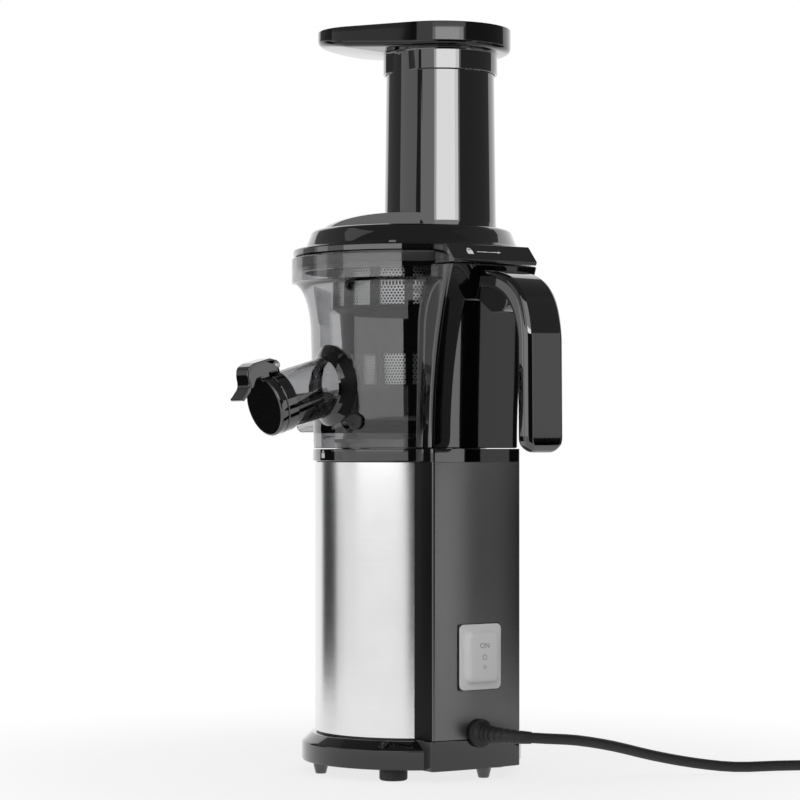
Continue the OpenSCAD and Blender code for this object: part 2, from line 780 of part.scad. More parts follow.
module second_gear() {
    color("gray") translate(lay_2) difference() {
        union() {
            wheel(second_teeth, module_2, second_z, second_w, step_dir + 180 + 180 / second_teeth);
            pinion(module_3, second_z + second_w - small, cover_z - 3 - slack, lay_2_dir + 180);
            round_bar(3.2, case_floor + slack, second_z + 1);
        }
        round_bar(lay_pin_r + run_fit, 0, 300);
    }
}

module output_gear() {
    color("gray") difference() {
        union() {
            wheel(output_teeth, module_3, output_z, output_w, lay_2_dir + 180 / output_teeth);
            round_bar(9, output_z - 1.5, cover_z - 0.5);
        }
        round_bar(shaft_r + snug, 0, 300);
    }
}

module drive_shaft() {
    color("silver") {
        round_bar(shaft_r, output_z - 1.5, spigot_top - 7);
        round_bar(hex_corner, spigot_top - 8, spigot_top + 0.5);
        translate([0, 0, spigot_top]) cylinder(r = hex_corner, h = hex_top - spigot_top, $fn = 6);
    }
}

module shaft_bearings() {
    color("silver") {
        tube(bearing_r, shaft_r + run_fit, cover_z + snug, cover_z + bearing_h - snug);
        tube(bearing_r, shaft_r + run_fit, cover_z + cover_t + boss_h - bearing_h + snug,
            cover_z + cover_t + boss_h);
    }
}

// Wiring side: board, microswitch, switch, gland and clamp
module control_board() {
    color("darkgreen") {
        translate([board_x - board_t, -board_w / 2, case_z - 2]) cube([board_t, board_w, board_h]);
        translate([board_x - board_t - relay[0] + 0.1, -board_w / 3, case_z + 6]) cube(relay);
        translate([board_x - board_t - coil_block[0] + 0.1, board_w / 8, case_z + 4]) cube(coil_block);
    }
}

module microswitch() {
    color("dimgray") {
        translate([rod_x - 4, rod_y - 12, button_z - 12]) cube([board_x - rod_x + 4, 18, 10]);
        translate([rod_x - 1.5, rod_y - 1.5, button_z - 2.5]) cube([3, 3, 2.5]);
    }
}

module plunger() {
    color("ivory") translate([rod_x, rod_y, 0]) {
        round_bar(rod_r, button_z + rod_travel + slack, deck_z - 0.2);
        round_bar(rod_r + 1.5, deck_z - 4.5, deck_z - 2 - slack);
    }
}

// Return spring of the plunger: a helix of round wire on the microswitch
module plunger_spring() {
    low = button_z - 2 + spring_wire;
    high = deck_z - 4.5 - spring_wire;
    color("silver") translate([rod_x, rod_y, 0])
        swept_tube([for (i = [0 : 12 * spring_turns]) let (a = 30 * i)
            [(rod_r + 0.8) * cos(a), (rod_r + 0.8) * sin(a), low + (high - low) * i / (12 * spring_turns)]],
            spring_wire, 6);
}

module switch_body() {
    color("black") difference() {
        union() {
            translate([pocket_x + snug, -switch_w / 2, switch_z - switch_h / 2])
                cube([bezel_t - snug, switch_w, switch_h]);
            translate([pocket_x - cut_depth, -switch_cut_w / 2, switch_z - switch_cut_h / 2])
                cube([cut_depth + 0.5, switch_cut_w, switch_cut_h]);
            for (z = [-10, 0, 10]) translate([pocket_x - cut_depth - terminal_l, -3, switch_z + z - 0.4])
                cube([terminal_l + 1, 6, 0.8]);
        }
        translate([pocket_x - 14, -rocker_w / 2 - 0.5, switch_z - rocker_h / 2 - 1.6])
            cube([30, rocker_w + 1, rocker_h + 3.2]);
        translate([pivot_x, 0, switch_z]) rotate([90, 0, 0])
            cylinder(r = 1.5 + run_fit, h = rocker_w + 5, center = true);
    }
}

module switch_rocker() {
    color("white") {
        translate([pivot_x - 3, -rocker_w / 2, switch_z - rocker_h / 2])
            cube([rocker_face - pivot_x + 3, rocker_w, rocker_h]);
        translate([pivot_x - 8, -3, switch_z - 3]) cube([8, 6, 6]);
        translate([pivot_x, 0, switch_z]) rotate([90, 0, 0])
            cylinder(r = 1.5, h = rocker_w + 4, center = true);
    }
}

module switch_cover() {
    face = pocket_x + bezel_t + snug;
    color("lightgray") difference() {
        union() {
            translate([face, -switch_w / 2, switch_z - switch_h / 2])
                cube([skin + 0.4, switch_w, switch_h]);
            translate([face, -pad_w / 2, switch_z - pad_h / 2]) cube([pad_lift, pad_w, pad_h]);
        }
        translate([face - 1, skin - pad_w / 2, switch_z - pad_h / 2 + skin])
            cube([pad_lift + 1 - skin, pad_w - 2 * skin, pad_h - 2 * skin]);
    }
}

module cord_gland() {
    color("dimgray") translate([0, 0, gland_z]) rotate([0, 90, 0]) difference() {
        union() {
            round_bar(gland_neck_r, spine_back - 6, spine_back + 1);
            round_bar(gland_r, spine_back + snug, spine_back + 3);
            round_bar(gland_r, spine_back - 6, spine_back - spine_wall - 0.6);
            translate([0, 0, spine_back + 2.9]) cylinder(r1 = gland_r - 1.5, r2 = cord_r + 1.2, h = 3.1);
        }
        round_bar(cord_r + snug, 0, gland_x - 0.5);
        round_bar(cord_r - 0.6, 0, gland_x + 1);
    }
}

module cord_clamp() {
    color("black") difference() {
        translate([spine_back - 19, -8, floor_top + snug]) cube([8, 16, gland_z + 6 - floor_top]);
        translate([spine_back - 30, 0, gland_z]) rotate([0, 90, 0]) cylinder(r = cord_r + snug, h = 30);
    }
}

module power_cord() {
    color("black") swept_tube(route, cord_r, 8);
}

// Coil: the radius runs in and out again at a steady rate and the climb is where it turns back
function coil_radius(s) = coil_out_r - coil_pitch * min(s, coil_turns - s);
function coil_climb(s) = let (u = min(1, max(0, (s - coil_turns / 2 + 0.25) * 2)))
    coil_layer * (1 - cos(180 * u)) / 2;
function coil_point(s) = coil_centre + coil_radius(s) * [cos(route_dir - 90 + 360 * s),
    sin(route_dir - 90 + 360 * s), 0] + [0, 0, coil_climb(s)];
coil_loops = [for (i = [0 : coil_turns * loop_rings]) coil_point(i / loop_rings)];
coil_last = coil_loops[len(coil_loops) - 1];
coil_drop = [0, 0, plug_z - coil_last[2]];
coil_path = concat([route_end, route_end + cord_d / 2 * coil_lead], coil_loops,
    [coil_last + 0.5 * coil_exit * coil_lead, coil_last + 0.8 * coil_exit * coil_lead,
     coil_last + 1.2 * coil_exit * coil_lead + 0.5 * coil_drop,
     coil_last + 1.6 * coil_exit * coil_lead + coil_drop,
     coil_last + (1.6 * coil_exit + cord_d) * coil_lead + coil_drop]);
coil_gap = min([for (i = [0 : len(coil_path) - 1]) for (j = [i + 9 : len(coil_path) - 1])
    norm(coil_path[i] - coil_path[j])]) - cord_d;
echo(coil_gap = coil_gap);
module cord_coil() {
    color("black") swept_tube(coil_path, cord_r, 6);
}

// Local frame of the coil: x runs outwards at the far side from where the cord comes in
module at_coil() {
    translate([coil_centre[0], coil_centre[1], 0]) rotate(route_dir + 90) children();
}
module cord_tie() {
    low = cord_rest - cord_r - 0.4;
    high = cord_rest + coil_layer + cord_r + 0.4;
    near = coil_radius(1.5) - cord_r - 0.6;
    far = coil_radius(0.5) + cord_r + 0.6;
    color("white") at_coil() difference() {
        translate([near - tie_t, -2.5, low - tie_t])
            cube([far - near + 2 * tie_t, 5, high - low + 2 * tie_t]);
        translate([near, -4, low]) cube([far - near, 8, high - low]);
    }
}

// Plug: a flat two-pin mains plug on the coil's free end
module at_plug() {
    translate(coil_path[len(coil_path) - 1]) rotate(route_dir) children();
}
module plug_body() {
    color("black") at_plug() intersection() {
        translate([0, 0, -plug_t / 2]) linear_extrude(plug_t) polygon([[0, -cord_r - 2],
            [8, -cord_r - 2.5], [16, -plug_w / 2 + 3], [20, -plug_w / 2], [plug_l, -plug_w / 2],
            [plug_l, plug_w / 2], [20, plug_w / 2], [16, plug_w / 2 - 3], [8, cord_r + 2.5],
            [0, cord_r + 2]]);
        side_plate(plug_w + 2) polygon([[0, -cord_r - 1.5], [12, -plug_t / 2], [plug_l, -plug_t / 2],
            [plug_l, plug_t / 2], [12, plug_t / 2], [0, cord_r + 1.5]]);
    }
}
module plug_pins() {
    color("silver") at_plug() for (y = [-9.3, 9.3]) translate([plug_l + snug, y, 0])
        rotate([0, 90, 0]) cylinder(r = 2, h = 19);
}

// Juice spout frame: z runs out along the spout, y runs up
module at_spout() {
    translate([0, -bowl_r, spout_z]) rotate([90 + spout_slope, 0, 0]) children();
}

// Pulp outlet outline across the tube, with cut corners
module pulp_outline(inset) {
    w = pulp_w / 2 - inset;
    h = pulp_h / 2 - inset;
    c = 3;
    polygon([[-w, c - h], [c - w, -h], [w - c, -h], [w, c - h],
        [w, h - c], [w - c, h], [c - w, h], [-w, h - c]]);
}
module pulp_run(x0, x1, inset) {
    translate([-x0, 0, pulp_low + pulp_h / 2]) rotate([90, 0, -90])
        linear_extrude(x1 - x0) pulp_outline(inset);
}

module juicing_bowl() {
    color([0.35, 0.36, 0.38, 0.5]) difference() {
        union() {
            difference() {
                union() {
                    rotate_extrude() polygon(concat([[0, foot_z]], bowl_side(0), [[0, rim_z]]));
                    intersection() {
                        at_spout() cylinder(r = saddle_r, h = 60, center = true);
                        round_bar(bowl_r + 2.6, foot_z, rim_z);
                        translate([-2 * saddle_r, -2 * bowl_r, foot_z])
                            cube([4 * saddle_r, 1.8 * bowl_r, bowl_h]);
                    }
                    at_spout() translate([0, 0, -8]) cylinder(r = spout_r, h = spout_l + 8);
                    pulp_run(40, pulp_x, 0);
                }
                rotate_extrude() polygon(concat([[0, foot_z - 1], [bowl_r - bowl_wall, foot_z - 1]],
                    bowl_side(-bowl_wall), [[rim_r - bowl_wall, rim_z + 1], [0, rim_z + 1]]));
            }
            round_bar(bowl_r - bowl_wall + 0.5, bowl_floor, bowl_floor + bowl_floor_t);
            round_bar(chimney_r, bowl_floor, chimney_top);
            intersection() {
                tube(bowl_r - bowl_wall + 0.5, collar_out + collar_wall + 0.4,
                    foot_z + 0.5, foot_z + 0.5 + lug_h);
                bayonet_sectors();
            }
        }
        round_bar(chimney_in, 0, 300);
        round_bar(chimney_in + 1.3, 0, bowl_floor + 2);
        at_spout() translate([0, 0, -9]) cylinder(r = spout_r - spout_wall, h = spout_l + 20);
        pulp_run(40, pulp_x + 1, spout_wall);
        rotate(plug_angle) translate([bowl_r - 6, 0, plug_lift]) rotate([0, 90, 0])
            cylinder(r = plug_stem_r + snug, h = 12);
    }
}

module bowl_gasket() {
    color("dimgray") tube(collar_out - collar_wall - 1, collar_out - collar_wall - 3.5,
        deck_z + 0.3, bowl_floor - slack);
}

module bowl_seal() {
    color("dimgray") tube(chimney_in + 1.3 - snug, hub_r + run_fit,
        bowl_floor + 0.1, bowl_floor + 2 - snug);
}

module drain_plug() {
    color("black") rotate(plug_angle) translate([0, 0, plug_lift]) rotate([0, 90, 0]) {
        round_bar(plug_stem_r, bowl_r - bowl_wall - 1.5, bowl_r + 1);
        round_bar(plug_stem_r + 1.6, bowl_r + 0.7, bowl_r + 3);
    }
}

// Column behind the bowl: side outline flares back towards its top
function column_back(off) = [for (u = [0 : 0.1 : 1])
    [column_x(u) + off, foot_z + u * (column_top - foot_z)]];
module column_side(off) {
    polygon(concat([[20, foot_z]], column_back(off), [[20, column_top]]));
}
module bowl_envelope(off) {
    rotate_extrude() polygon(concat([[0, foot_z - 2], [bowl_r + off, foot_z - 2]],
        bowl_side(off), [[rim_r + off, rim_z + 2], [0, rim_z + 2]]));
}

module rear_column() {
    color("black") difference() {
        side_plate(spine_w) column_side(0);
        bowl_envelope(column_gap);
        difference() {
            side_plate(spine_w - 2 * column_wall) polygon(concat([[20, foot_z + column_wall]],
                [for (p = column_back(-column_wall)) [p[0], max(foot_z + column_wall,
                    min(p[1], column_top - column_wall))]], [[20, column_top - column_wall]]));
            bowl_envelope(column_gap + column_wall);
        }
        for (z = handle_screw_z) translate([40, 0, z]) rotate([0, 90, 0])
            cylinder(r = screw_r + 0.2, h = 60);
    }
}

// Handle: a strap that springs back from the column and hangs down to a free end
function strap_outer(t) = bezier([spine_x + 12, arm_top], [handle_x - 16, arm_top],
    [handle_x - 3, arm_top - 9.5], [handle_x - 0.5, arm_top - 40], t);
function strap_inner(t) = bezier([spine_x + 12, arm_top - arm_root - 1],
    [handle_x - 23, arm_top - arm_root - 1],
    [handle_x - handle_t - 6, arm_top - 24.5], [handle_x - handle_t - 0.5, arm_top - 71.5], t);
handle_end = foot_z + handle_low + handle_t / 2;
module handle_outline() {
    polygon(concat([for (t = [0 : 0.1 : 1]) strap_outer(t)], [[handle_x, handle_end + 12]],
        [for (a = [0 : -20 : -180])
            [handle_x - handle_t / 2, handle_end] + handle_t / 2 * [cos(a), sin(a)]],
        [[handle_x - handle_t, handle_end + 12]], [for (t = [1 : -0.1 : 0]) strap_inner(t)]));
}
module handle() {
    color("black") difference() {
        union() {
            side_plate(handle_w) handle_outline();
            side_plate(web_w) polygon([[spine_x, arm_top - arm_root + 2],
                [handle_x - 28, arm_top - arm_root + 2],
                [handle_x - 27, arm_top - arm_root - 7], [handle_x - 31, arm_top - arm_root - 13],
                [spine_x + 15, arm_top - arm_root - 13], [spine_x + 10, arm_top - arm_root - 9]]);
        }
        side_plate(spine_w) column_side(snug);
        for (z = handle_screw_z) translate([spine_x, 0, z]) rotate([0, 90, 0])
            cylinder(r = screw_r + snug, h = handle_x - handle_t - 12 - spine_x - 7);
    }
}

module handle_screws() {
    color("silver") for (z = handle_screw_z) {
        x = column_x((z - foot_z) / (column_top - foot_z)) - column_wall - 0.9;
        translate([0, 0, z]) rotate([0, 90, 0]) {
            round_bar(screw_r, x - 1, x + 16);
            round_bar(screw_head_r, x - 2, x - 0.1);
        }
    }
}

// Spout end: clipped ring with the hinge ear, the pin, the cap with its lever and the seal
module spout_ring() {
    color("black") at_spout() difference() {
        union() {
            round_bar(cap_r, spout_l - ring_l, spout_l - snug);
            side_ear(5, cap_r - 2);
        }
        round_bar(spout_r + snug, 0, spout_l + 1);
        translate([-10, pin_y, pin_at]) rotate([0, 90, 0]) cylinder(r = pin_r + snug, h = 20);
    }
}
module side_ear(w, low) {
    translate([-w / 2, 0, 0]) rotate([90, 0, 90]) linear_extrude(w) polygon([[low, pin_at - 3],
        [pin_y, pin_at - 3], [pin_y, pin_at + 3], [low, pin_at + 3]]);
    translate([-w / 2, pin_y, pin_at]) rotate([0, 90, 0]) cylinder(r = 3, h = w);
}

module cap_hinge_pin() {
    color("silver") at_spout() translate([-lever_w / 2 - 0.4, pin_y, pin_at]) rotate([0, 90, 0])
        cylinder(r = pin_r, h = lever_w + 0.8);
}

// Cap outline in the plane across the hinge: first number up, second along the spout
cap_z = spout_l + 0.4;
module lever_outline() {
    polygon([[pin_y + 3.4, pin_at + 0.5], [pin_y + 4.6, cap_z + 4], [pin_y + 1.2, cap_z + 12.5],
        [pin_y - 6.2, cap_z + 18.6], [pin_y - 11.5, cap_z + 22], [pin_y - 12.8, cap_z + 20],
        [pin_y - 8, cap_z + 16.4], [pin_y - 2, cap_z + 11], [pin_y + 1.8, cap_z + 3.6],
        [pin_y + 2.2, pin_at + 4.5]]);
}
module rib_outline() {
    polygon([[pin_y + 3, pin_at], [pin_y + 4, cap_z + 4], [pin_y + 0.8, cap_z + 12],
        [pin_y - 6.4, cap_z + 18],
        [pin_y - 9, cap_z + 16], [pin_y - 5, cap_z + 10.5], [pin_y - 2, cap_z + cap_t],
        [cap_r - 4, cap_z + cap_t - 1], [cap_r - 4, cap_z + 0.6], [cap_r + 0.6, cap_z + 0.2],
        [cap_r + 0.6, pin_at + 2], [pin_y - 1, pin_at - 2.8]]);
}
module spout_cap() {
    color("black") at_spout() difference() {
        union() {
            round_bar(cap_r, cap_z, cap_z + cap_t - 1);
            translate([0, 0, cap_z + cap_t - 1]) cylinder(r1 = cap_r, r2 = cap_r - 1, h = 1);
            for (x = [-lever_w / 2, lever_w / 2 - lever_rib]) translate([x, 0, 0]) {
                rotate([90, 0, 90]) linear_extrude(lever_rib) rib_outline();
                translate([0, pin_y, pin_at]) rotate([0, 90, 0]) cylinder(r = 3, h = lever_rib);
            }
            translate([-lever_w / 2, 0, 0]) rotate([90, 0, 90])
                linear_extrude(lever_w) lever_outline();
        }
        round_bar(cap_r - 1.5 + snug, cap_z - 1, cap_z + 1.3);
        translate([-20, pin_y, pin_at]) rotate([0, 90, 0]) cylinder(r = pin_r + run_fit, h = 40);
    }
}

module cap_seal() {
    color("dimgray") at_spout() {
        round_bar(cap_r - 1.5, cap_z, cap_z + 1.3 - snug);
        round_bar(spout_r - spout_wall - 0.7, spout_l - 0.8, cap_z + 0.5);
    }
}

// Strainer: cone below, straight mesh band above, two rows of windows
function strainer_side(off) = [[strainer_foot_r + off, strainer_z + strainer_wall],
    [strainer_cone_r + off, cone_top],
    [strainer_band_r + off, cone_top + 3.5], [strainer_band_r + off, strainer_top]];
function strainer_in(z) = z > cone_top ? strainer_cone_r - strainer_wall :
    strainer_foot_r - strainer_wall + (strainer_cone_r - strainer_foot_r) * (z - strainer_z - strainer_wall)
    / (cone_top - strainer_z - strainer_wall);
module windows(row, r) {
    w = 2 * r * sin(window_angle / 2);
    for (i = [0 : window_count - 1]) rotate(window_phase + 360 * i / window_count)
        translate([r - 10, -w / 2, row[0]]) cube([20, w, row[1] - row[0]]);
}
module strainer_frame() {
    color([0.12, 0.12, 0.13]) difference() {
        rotate_extrude() polygon(concat([[0, strainer_z], [strainer_foot_r, strainer_z]], strainer_side(0),
            [[0, strainer_top]]));
        rotate_extrude() polygon(concat([[0, strainer_z + strainer_wall]], strainer_side(-strainer_wall),
            [[strainer_band_r - strainer_wall, strainer_top + 1], [0, strainer_top + 1]]));
        round_bar(chimney_r + 0.3, 0, 300);
        windows(low_window, strainer_cone_r - 3);
        windows(high_window, strainer_band_r);
        translate([-50, -8, strainer_z + strainer_wall]) cube([30, 16, 16]);
    }
}
module strainer_mesh() {
    low_r = [for (z = [low_window[0] - 2, low_window[1] + 2]) strainer_in(z) - snug];
    color("silver") {
        rotate_extrude() polygon([[low_r[0] - mesh_t, low_window[0] - 2], [low_r[0], low_window[0] - 2],
            [low_r[1], low_window[1] + 2], [low_r[1] - mesh_t, low_window[1] + 2]]);
        tube(strainer_band_r - strainer_wall - snug, strainer_band_r - strainer_wall - snug - mesh_t,
            high_window[0] - 0.3, high_window[1] + 2);
    }
}

// Auger: hollow foot over the chimney, tapering core and one long flight
function auger_core(z) = auger_foot_r
    + (auger_core_r - auger_foot_r) * (z - auger_z) / (auger_top - auger_z);
function flight_row(i) = let (
    u = i / flight_rings,
    z = auger_z + 1 + u * (auger_top - auger_z - flight_t - 3),
    a = -360 * flight_turns * u,
    r0 = auger_core(z) - 2,
    r1 = min(strainer_in(z), strainer_in(z + flight_t)) - snug - mesh_t - auger_gap)
    [for (p = [[r0, 0], [r1, 0.8], [r1, flight_t - 1.2], [r0, flight_t]])
        [p[0] * cos(a), p[0] * sin(a), z + p[1]]];
module auger_flight() {
    n = 4;
    polyhedron(
        points = [for (i = [0 : flight_rings]) each flight_row(i)],
        faces = concat(
            [[0, 1, 2], [0, 2, 3]],
            [for (i = [0 : flight_rings - 1]) for (k = [0 : n - 1])
                each [[i * n + k, (i + 1) * n + k, (i + 1) * n + (k + 1) % n],
                      [i * n + k, (i + 1) * n + (k + 1) % n, i * n + (k + 1) % n]]],
            [[flight_rings * n, flight_rings * n + 2, flight_rings * n + 1],
             [flight_rings * n, flight_rings * n + 3, flight_rings * n + 2]]));
}
module auger() {
    color([0.1, 0.1, 0.1]) difference() {
        union() {
            translate([0, 0, auger_z])
                cylinder(r1 = auger_foot_r, r2 = auger_core_r, h = auger_top - auger_z);
            round_bar(tip_r, auger_top - 1, lid_z + 6);
            round_bar(hub_r, bowl_floor - 0.5, auger_z + 1);
            auger_flight();
        }
        difference() {
            round_bar(chimney_r + slack, 0, chimney_top + 1);
            round_bar(hub_r, 0, 300);
        }
        translate([0, 0, bowl_floor - 1])
            cylinder(r = hex_corner + 0.1, h = hex_top + 2 - bowl_floor, $fn = 6);
    }
}

// Lid: rim, dome, feed trough, chute, cross bar with the auger's bush and the rear locking lug
module trough_body(off) {
    intersection() {
        translate(chute_at) rotate(trough_dir) translate([0, off - chute_foot_r + 0.7, dome_top - 6])
            cube([90, 2 * (chute_foot_r - 0.7 - off), 40]);
        translate([0, 0, dome_top - trough_sink]) rotate_extrude()
            polygon(concat([[0, -4]], [[trough_r - off, -4]], [for (a = [0 : 10 : 90])
                [(trough_r - off) * cos(a), (trough_h + trough_sink - off) * sin(a)]]));
    }
}
module lid() {
    color("black") {
        difference() {
            union() {
                rotate_extrude() polygon([[0, lid_z], [lid_r - 0.5, lid_z], [lid_r, lid_z + 0.5],
                    [lid_r, lid_top - 0.6], [lid_r - 0.6, lid_top], [dome_foot_r, lid_top + 0.4],
                    [dome_r, dome_top - 2.8], [dome_r - 2.8, dome_top], [0, dome_top]]);
                tube(plug_r, plug_r - lid_wall, lid_z - 9, lid_z + 1);
                trough_body(0);
                translate(chute_at + [0, 0, dome_top - 3])
                    cylinder(r1 = chute_foot_r, r2 = chute_top_r, h = chute_top - dome_top + 3);
                difference() {
                    side_plate(lug_w) polygon([[50, column_top + slack],
                        [spine_x + column_flare - 1, column_top + slack],
                        [spine_x + column_flare, column_top + slack + 2],
                        [spine_x + column_flare - 8, lid_top - 1], [50, lid_top - 0.8]]);
                    round_bar(rim_r + slack, 0, lid_z + small);
                    round_bar(lid_r - 4, 0, 400);
                }
            }
            rotate_extrude() polygon([[0, lid_z - 10], [plug_r - lid_wall, lid_z - 10],
                [plug_r - lid_wall, lid_z + 2], [dome_r - lid_wall, dome_top - 4.5],
                [dome_r - 5, dome_top - lid_wall], [0, dome_top - lid_wall]]);
            trough_body(lid_wall);
            translate(chute_at) round_bar(chute_in, lid_z, 600);
        }
        difference() {
            union() {
                rotate(trough_dir - 90) translate([1 - plug_r, -bar_w / 2, lid_z - 2])
                    cube([2 * plug_r - 2, bar_w, 8]);
                round_bar(bush_r + 2, lid_z - 4, lid_z + 8);
            }
            round_bar(bush_r, lid_z - 5, lid_z + 6.6);
        }
    }
}
module auger_bush() {
    color("ivory") tube(bush_r - snug, tip_r + run_fit, lid_z - 4, lid_z + 6.5);
}
module lid_seal() {
    color("dimgray") tube(rim_r - bowl_wall - slack, plug_r + slack, lid_z - 6, lid_z - slack);
}

// Feeding tray: an egg-shaped dish with a collar that slips over the chute
function egg(r0, r1, d) = let (b = acos((r0 - r1) / d)) concat(
    [for (i = [0 : 36]) let (a = b + (360 - 2 * b) * i / 36) r0 * [cos(a), sin(a)]],
    [for (i = [0 : 24]) let (a = -b + 2 * b * i / 24) [d, 0] + r1 * [cos(a), sin(a)]]);
module feeding_tray() {
    d = tray_reach - tray_tip_r;
    slope = tray_rise / (tray_reach - collar_r);
    color("black") translate(chute_at + [0, 0, tray_z]) rotate(trough_dir) difference() {
        union() {
            linear_extrude(tray_h) polygon(egg(tray_r, tray_tip_r, d));
            round_bar(collar_r, -collar_h, 1);
        }
        side_plate(200) polygon([[collar_r, -1], [collar_r, 0],
            [collar_r + 80, 80 * slope], [collar_r + 80, -1]]);
        difference() {
            translate([0, 0, tray_wall])
                linear_extrude(tray_h) polygon(egg(tray_r - tray_wall, tray_tip_r - tray_wall, d));
            side_plate(200) polygon([[collar_r, tray_wall], [collar_r + 80, 80 * slope + tray_wall],
                [collar_r + 80, 0], [collar_r, 0]]);
        }
        round_bar(chute_in, -collar_h, 40);
        round_bar(collar_in, -collar_h - 1, 0);
    }
}

base_cover();
rubber_feet();
base_screws();
motor_housing();
steel_sleeve();
rear_cover();
top_deck();
deck_screws();
shaft_seal();
motor_can();
motor_end_cap();
motor_magnets();
motor_brushes();
motor_rotor();
motor_fan();
gearbox_case();
gearbox_cover();
gearbox_screws();
lay_pins();
first_gear();
second_gear();
output_gear();
drive_shaft();
shaft_bearings();
control_board();
microswitch();
plunger();
plunger_spring();
switch_body();
switch_rocker();
switch_cover();
cord_gland();
cord_clamp();
power_cord();
cord_coil();
cord_tie();
plug_body();
plug_pins();
juicing_bowl();
bowl_gasket();
bowl_seal();
drain_plug();
rear_column();
handle();
handle_screws();
spout_ring();
cap_hinge_pin();
spout_cap();
cap_seal();
strainer_frame();
strainer_mesh();
auger();
auger_bush();
lid();
lid_seal();
feeding_tray();
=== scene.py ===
import math

import bmesh
import bpy
from mathutils import Matrix, Vector


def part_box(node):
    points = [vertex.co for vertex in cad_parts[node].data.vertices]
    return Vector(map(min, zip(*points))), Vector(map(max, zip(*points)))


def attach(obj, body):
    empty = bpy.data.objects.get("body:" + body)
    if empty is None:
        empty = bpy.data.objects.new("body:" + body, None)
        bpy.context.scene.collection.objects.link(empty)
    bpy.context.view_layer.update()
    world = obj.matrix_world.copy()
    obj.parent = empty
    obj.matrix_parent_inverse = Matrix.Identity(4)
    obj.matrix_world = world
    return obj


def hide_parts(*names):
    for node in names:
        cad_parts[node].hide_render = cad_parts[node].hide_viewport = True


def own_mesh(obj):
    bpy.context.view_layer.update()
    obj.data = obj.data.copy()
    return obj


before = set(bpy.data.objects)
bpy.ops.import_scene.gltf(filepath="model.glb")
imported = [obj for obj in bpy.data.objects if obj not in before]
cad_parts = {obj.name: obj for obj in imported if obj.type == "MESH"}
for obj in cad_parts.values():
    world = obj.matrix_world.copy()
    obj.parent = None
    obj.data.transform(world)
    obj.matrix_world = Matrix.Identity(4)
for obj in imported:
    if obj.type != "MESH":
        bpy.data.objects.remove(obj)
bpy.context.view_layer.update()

MM = 0.001
stage_scene = bpy.context.scene


def linked(name, data):
    piece = bpy.data.objects.new(name, data)
    stage_scene.collection.objects.link(piece)
    return piece


# Camera: level, at the photo's azimuth; its place is in metres from the bowl's axis and the floor
VIEW_AZIMUTH = -35
VIEW_TO = Vector((0.819152, -0.573576, 0.0))
VIEW_RIGHT = Vector((0.573576, 0.819152, 0.0))
CAMERA_REACH, CAMERA_ASIDE, CAMERA_HEIGHT = 1.56, -0.0067, 0.188
camera_data = bpy.data.cameras.new("camera")
camera = linked("camera", camera_data)
camera_data.sensor_width = 36
camera_data.lens = 120.4
camera_data.shift_y = 0.0588
camera_data.clip_end = 50
camera.location = VIEW_TO * CAMERA_REACH + VIEW_RIGHT * CAMERA_ASIDE + Vector((0, 0, CAMERA_HEIGHT))
camera.rotation_euler = (-VIEW_TO).to_track_quat("-Z", "Y").to_euler()
stage_scene.camera = camera
stage_scene.view_settings.view_transform = "Standard"

# Mesh tools: points and outlines are in millimetres, finished meshes in metres
SMOOTH = 35.0


def shade(piece, angle=SMOOTH):
    """Shades a piece smooth, with sharp edges where faces meet at more than the angle in degrees."""
    mesh = piece.data
    mesh.polygons.foreach_set("use_smooth", [True] * len(mesh.polygons))
    mesh.set_sharp_from_angle(angle=math.radians(angle))


def new_piece(name, bm, smooth=SMOOTH):
    bmesh.ops.remove_doubles(bm, verts=bm.verts, dist=1e-4)
    bmesh.ops.recalc_face_normals(bm, faces=bm.faces)
    mesh = bpy.data.meshes.new(name)
    for v in bm.verts:
        v.co = v.co * MM
    bm.to_mesh(mesh)
    bm.free()
    piece = linked(name, mesh)
    shade(piece, smooth)
    return piece


def evaluated(piece):
    graph = bpy.context.evaluated_depsgraph_get()
    graph.update()
    return bpy.data.meshes.new_from_object(piece.evaluated_get(graph))


def applied(piece):
    mesh, old = evaluated(piece), piece.data
    piece.modifiers.clear()
    piece.data = mesh
    bpy.data.meshes.remove(old)
    mesh.name = piece.name
    return piece


def combine(piece, other, operation):
    step = piece.modifiers.new("step", "BOOLEAN")
    step.operation = operation
    step.solver = "EXACT"
    step.object = other
    applied(piece)
    bpy.data.objects.remove(other)
    shade(piece)
    return piece


def add(piece, other):
    return combine(piece, other, "UNION")


def cut(piece, other):
    return combine(piece, other, "DIFFERENCE")


def evened(piece):
    """Weights the shading normals by face area, so that large faces stay flat beside rounded rims."""
    step = piece.modifiers.new("even", "WEIGHTED_NORMAL")
    step.mode = "FACE_AREA"
    step.weight = 60
    step.keep_sharp = True
    return applied(piece)


def at(x, y, z):
    return Matrix.Translation(Vector((x, y, z)) * MM)


def spun(degrees, axis):
    return Matrix.Rotation(math.radians(degrees), 4, axis)


def placed(piece, matrix):
    piece.data.transform(matrix)
    return piece


def lying(piece, x, y, z):
    """Lays a part made along Z down along X, at the point given in millimetres."""
    return placed(piece, at(x, y, z) @ spun(90, "Y"))


def joined(name, pieces, smooth=SMOOTH):
    bm = bmesh.new()
    for piece in pieces:
        bm.from_mesh(piece.data)
        bpy.data.objects.remove(piece)
    mesh = bpy.data.meshes.new(name)
    bm.to_mesh(mesh)
    bm.free()
    whole = linked(name, mesh)
    shade(whole, smooth)
    return whole


